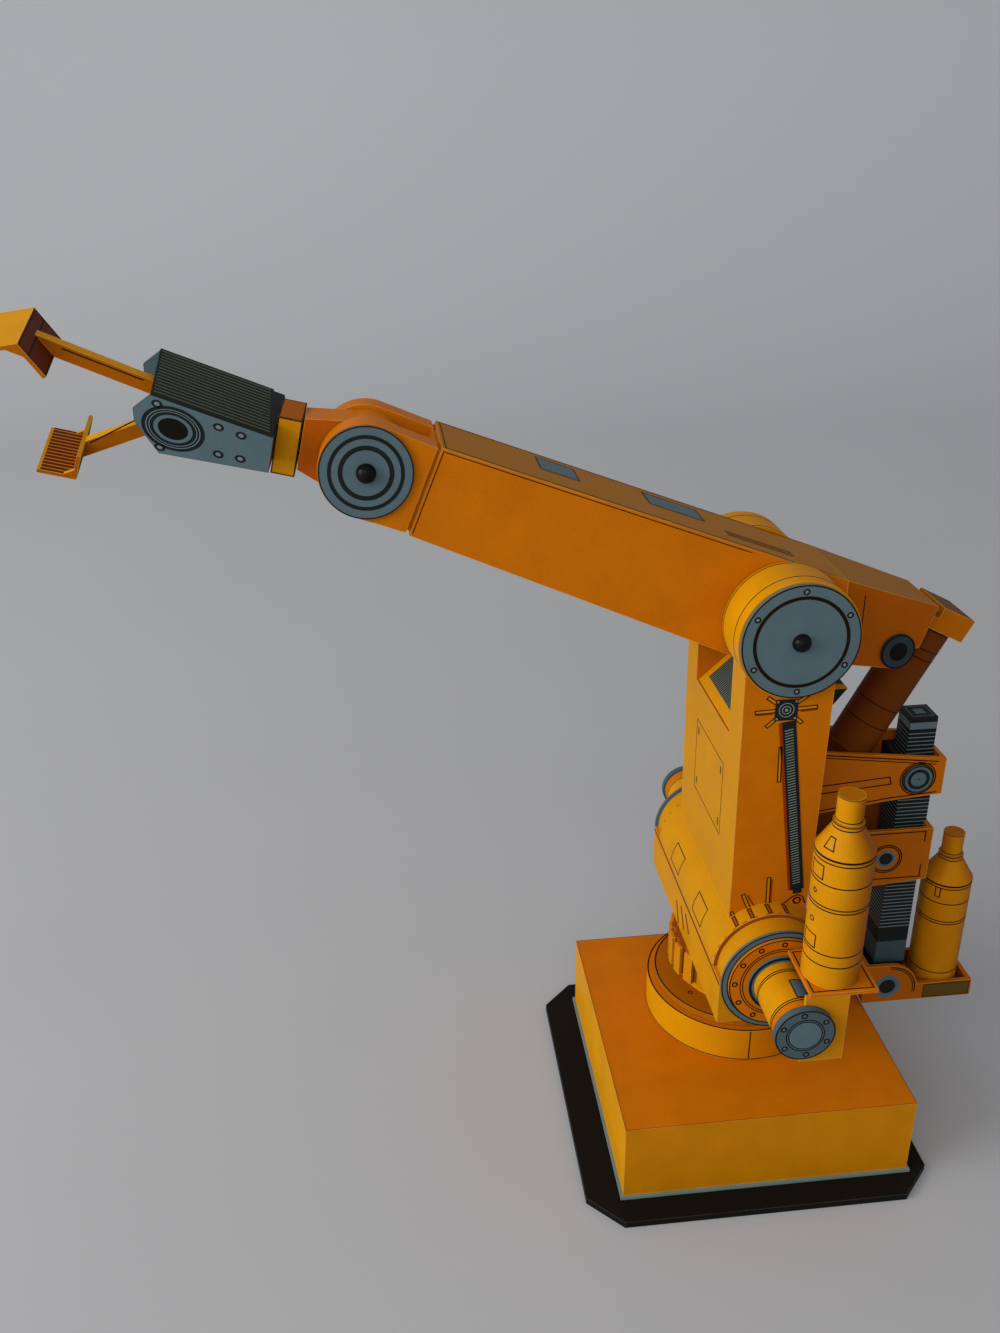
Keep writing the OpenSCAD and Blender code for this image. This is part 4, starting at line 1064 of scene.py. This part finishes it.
class CARDARM_OT_link(bpy.types.Operator):
    """Prints the lines round the link tube and the rings and folds of the forearm's ears"""
    bl_idname = "card_arm.link"
    bl_label = "Link prints"

    def execute(self, context):
        tube_r, offset = 6.2, 10.6
        axis = LINK - TUBE.cross(-SIDE) * offset * MM
        hoops = [hoop(axis + TUBE * z * MM, TUBE, tube_r, 0.28) for z in (7.6, 2.2, -0.4, -16.5, -22.3)]
        printed("link_tube_lines", hoops, "ink", "rear_link")
        # The ears draw in towards the back, from their half width at their root
        turn = math.atan2(3.9, 26.2)
        root_x, root_half, ring_wall = 16.0, 13.3, 0.8
        reach = root_half - (-LINK.x / MM - root_x) * math.tan(turn)
        fold_x, fold_low, fold_high, fold_y = 21.1, 153.2, 161.5, 12.6
        for side, word in SIDES:
            look = Vector((-math.sin(turn), math.cos(turn) * side, 0))
            at = facing_frame(LINK + (SIDE * reach * side + look * ring_wall) * MM, UP, look)
            bore = [disc(at, 0, 0, 2.5), ring(at, 0, 0, 4.7, 0.4)]
            printed("ear_bore_" + word, bore, "black", "forearm")
            at = flank(fold_y * MM, side)
            fold = [bar(at, (fold_x * side, fold_low), (fold_x * side, fold_high), THIN, 3)]
            printed("ear_fold_" + word, fold, "ink", "forearm", wrap="rear_ears")
        return {"FINISHED"}


class CARDARM_OT_stage(bpy.types.Operator):
    """Sets the paper floor, the light and the camera"""
    bl_idname = "card_arm.stage"
    bl_label = "Stage"

    def execute(self, context):
        alone()
        sheet, back_height, curve = 3.0, 2.2, 0.7
        bpy.ops.mesh.primitive_plane_add(size=sheet, location=(0, 0, 0))
        floor = bpy.context.object
        floor.name = "paper_floor"
        # The sheet is drawn up behind the model and curves into its back
        back_edge(floor, lambda co: co.y < -1)
        bpy.ops.mesh.extrude_region_move(TRANSFORM_OT_translate={"value": (0, 0, back_height)})
        back_edge(floor, lambda co: co.y < -1 and abs(co.z) < 0.01)
        bpy.ops.mesh.bevel(offset=curve, segments=24)
        mode("OBJECT")
        bpy.ops.object.shade_smooth()
        floor.data.materials.append(paper("drawing paper", hues().floor))
        target = Vector((0.03, 0.0, 0.11))
        # Place and size in metres, and power in watts
        lamps = (("window", (1.1, 0.30, 0.55), 0.8, 10.8), ("room", (0.55, 1.15, 0.9), 1.2, 4.7))
        for name, spot, size, power in lamps:
            bpy.ops.object.light_add(type="AREA", location=spot)
            lamp = bpy.context.object
            lamp.name = name
            lamp.data.size = size
            lamp.data.energy = power
            lamp.rotation_euler = (target - lamp.location).to_track_quat("-Z", "Y").to_euler()
        world = bpy.data.worlds.new("pale room")
        world.use_nodes = True
        sky = world.node_tree.nodes["Background"]
        sky.inputs[0].default_value = (0.94, 0.96, 1.0, 1)
        sky.inputs[1].default_value = 0.47
        context.scene.world = world
        # The camera stands where the photograph was taken from
        bpy.ops.object.camera_add(location=(0.096, 0.2737, 0.2702))
        camera = bpy.context.object
        right = Vector((-0.9942, 0.1063, -0.014)).normalized()
        ahead = Vector((-0.0905, -0.902, -0.4222)).normalized()
        camera.rotation_euler = Matrix((right, right.cross(ahead), -ahead)).transposed().to_euler()
        camera.data.sensor_width = 36
        camera.data.lens = 31.97
        camera.data.clip_start = 0.01
        context.scene.camera = camera
        context.scene.view_settings.view_transform = "Standard"
        return {"FINISHED"}


def back_edge(floor, wanted):
    """Selects the floor's edges whose ends are wanted, and goes to edit mode."""
    mode("EDIT")
    bpy.ops.mesh.select_mode(type="EDGE")
    bpy.ops.mesh.select_all(action="DESELECT")
    mode("OBJECT")
    for edge in floor.data.edges:
        edge.select = all(wanted(floor.data.vertices[i].co) for i in edge.vertices)
    mode("EDIT")


class CARDARM_PT_panel(bpy.types.Panel):
    """Lists the steps that finish the card arm"""
    bl_idname = "CARDARM_PT_panel"
    bl_label = "Card arm"
    bl_space_type = "VIEW_3D"
    bl_region_type = "UI"
    bl_category = "Card arm"

    def draw(self, context):
        for step in STEPS:
            self.layout.operator(step.bl_idname)
        for group in (context.scene.card_colours, context.scene.card_sizes):
            for key in group.__annotations__:
                self.layout.prop(group, key)


STEPS = (
    CARDARM_OT_stage, CARDARM_OT_finishes, CARDARM_OT_discs, CARDARM_OT_upright,
    CARDARM_OT_forearm, CARDARM_OT_gripper, CARDARM_OT_jaws, CARDARM_OT_drive,
    CARDARM_OT_motors, CARDARM_OT_housing, CARDARM_OT_turntable, CARDARM_OT_link)
CLASSES = (CardColours, CardSizes, *STEPS, CARDARM_PT_panel)


def register():
    for cls in CLASSES:
        bpy.utils.register_class(cls)
    bpy.types.Scene.card_colours = PointerProperty(type=CardColours)
    bpy.types.Scene.card_sizes = PointerProperty(type=CardSizes)


def unregister():
    del bpy.types.Scene.card_colours
    del bpy.types.Scene.card_sizes
    for cls in reversed(CLASSES):
        bpy.utils.unregister_class(cls)


def main():
    register()
    for step in STEPS:
        group, name = step.bl_idname.split(".")
        getattr(getattr(bpy.ops, group), name)()


if __name__ == "__main__":
    main()
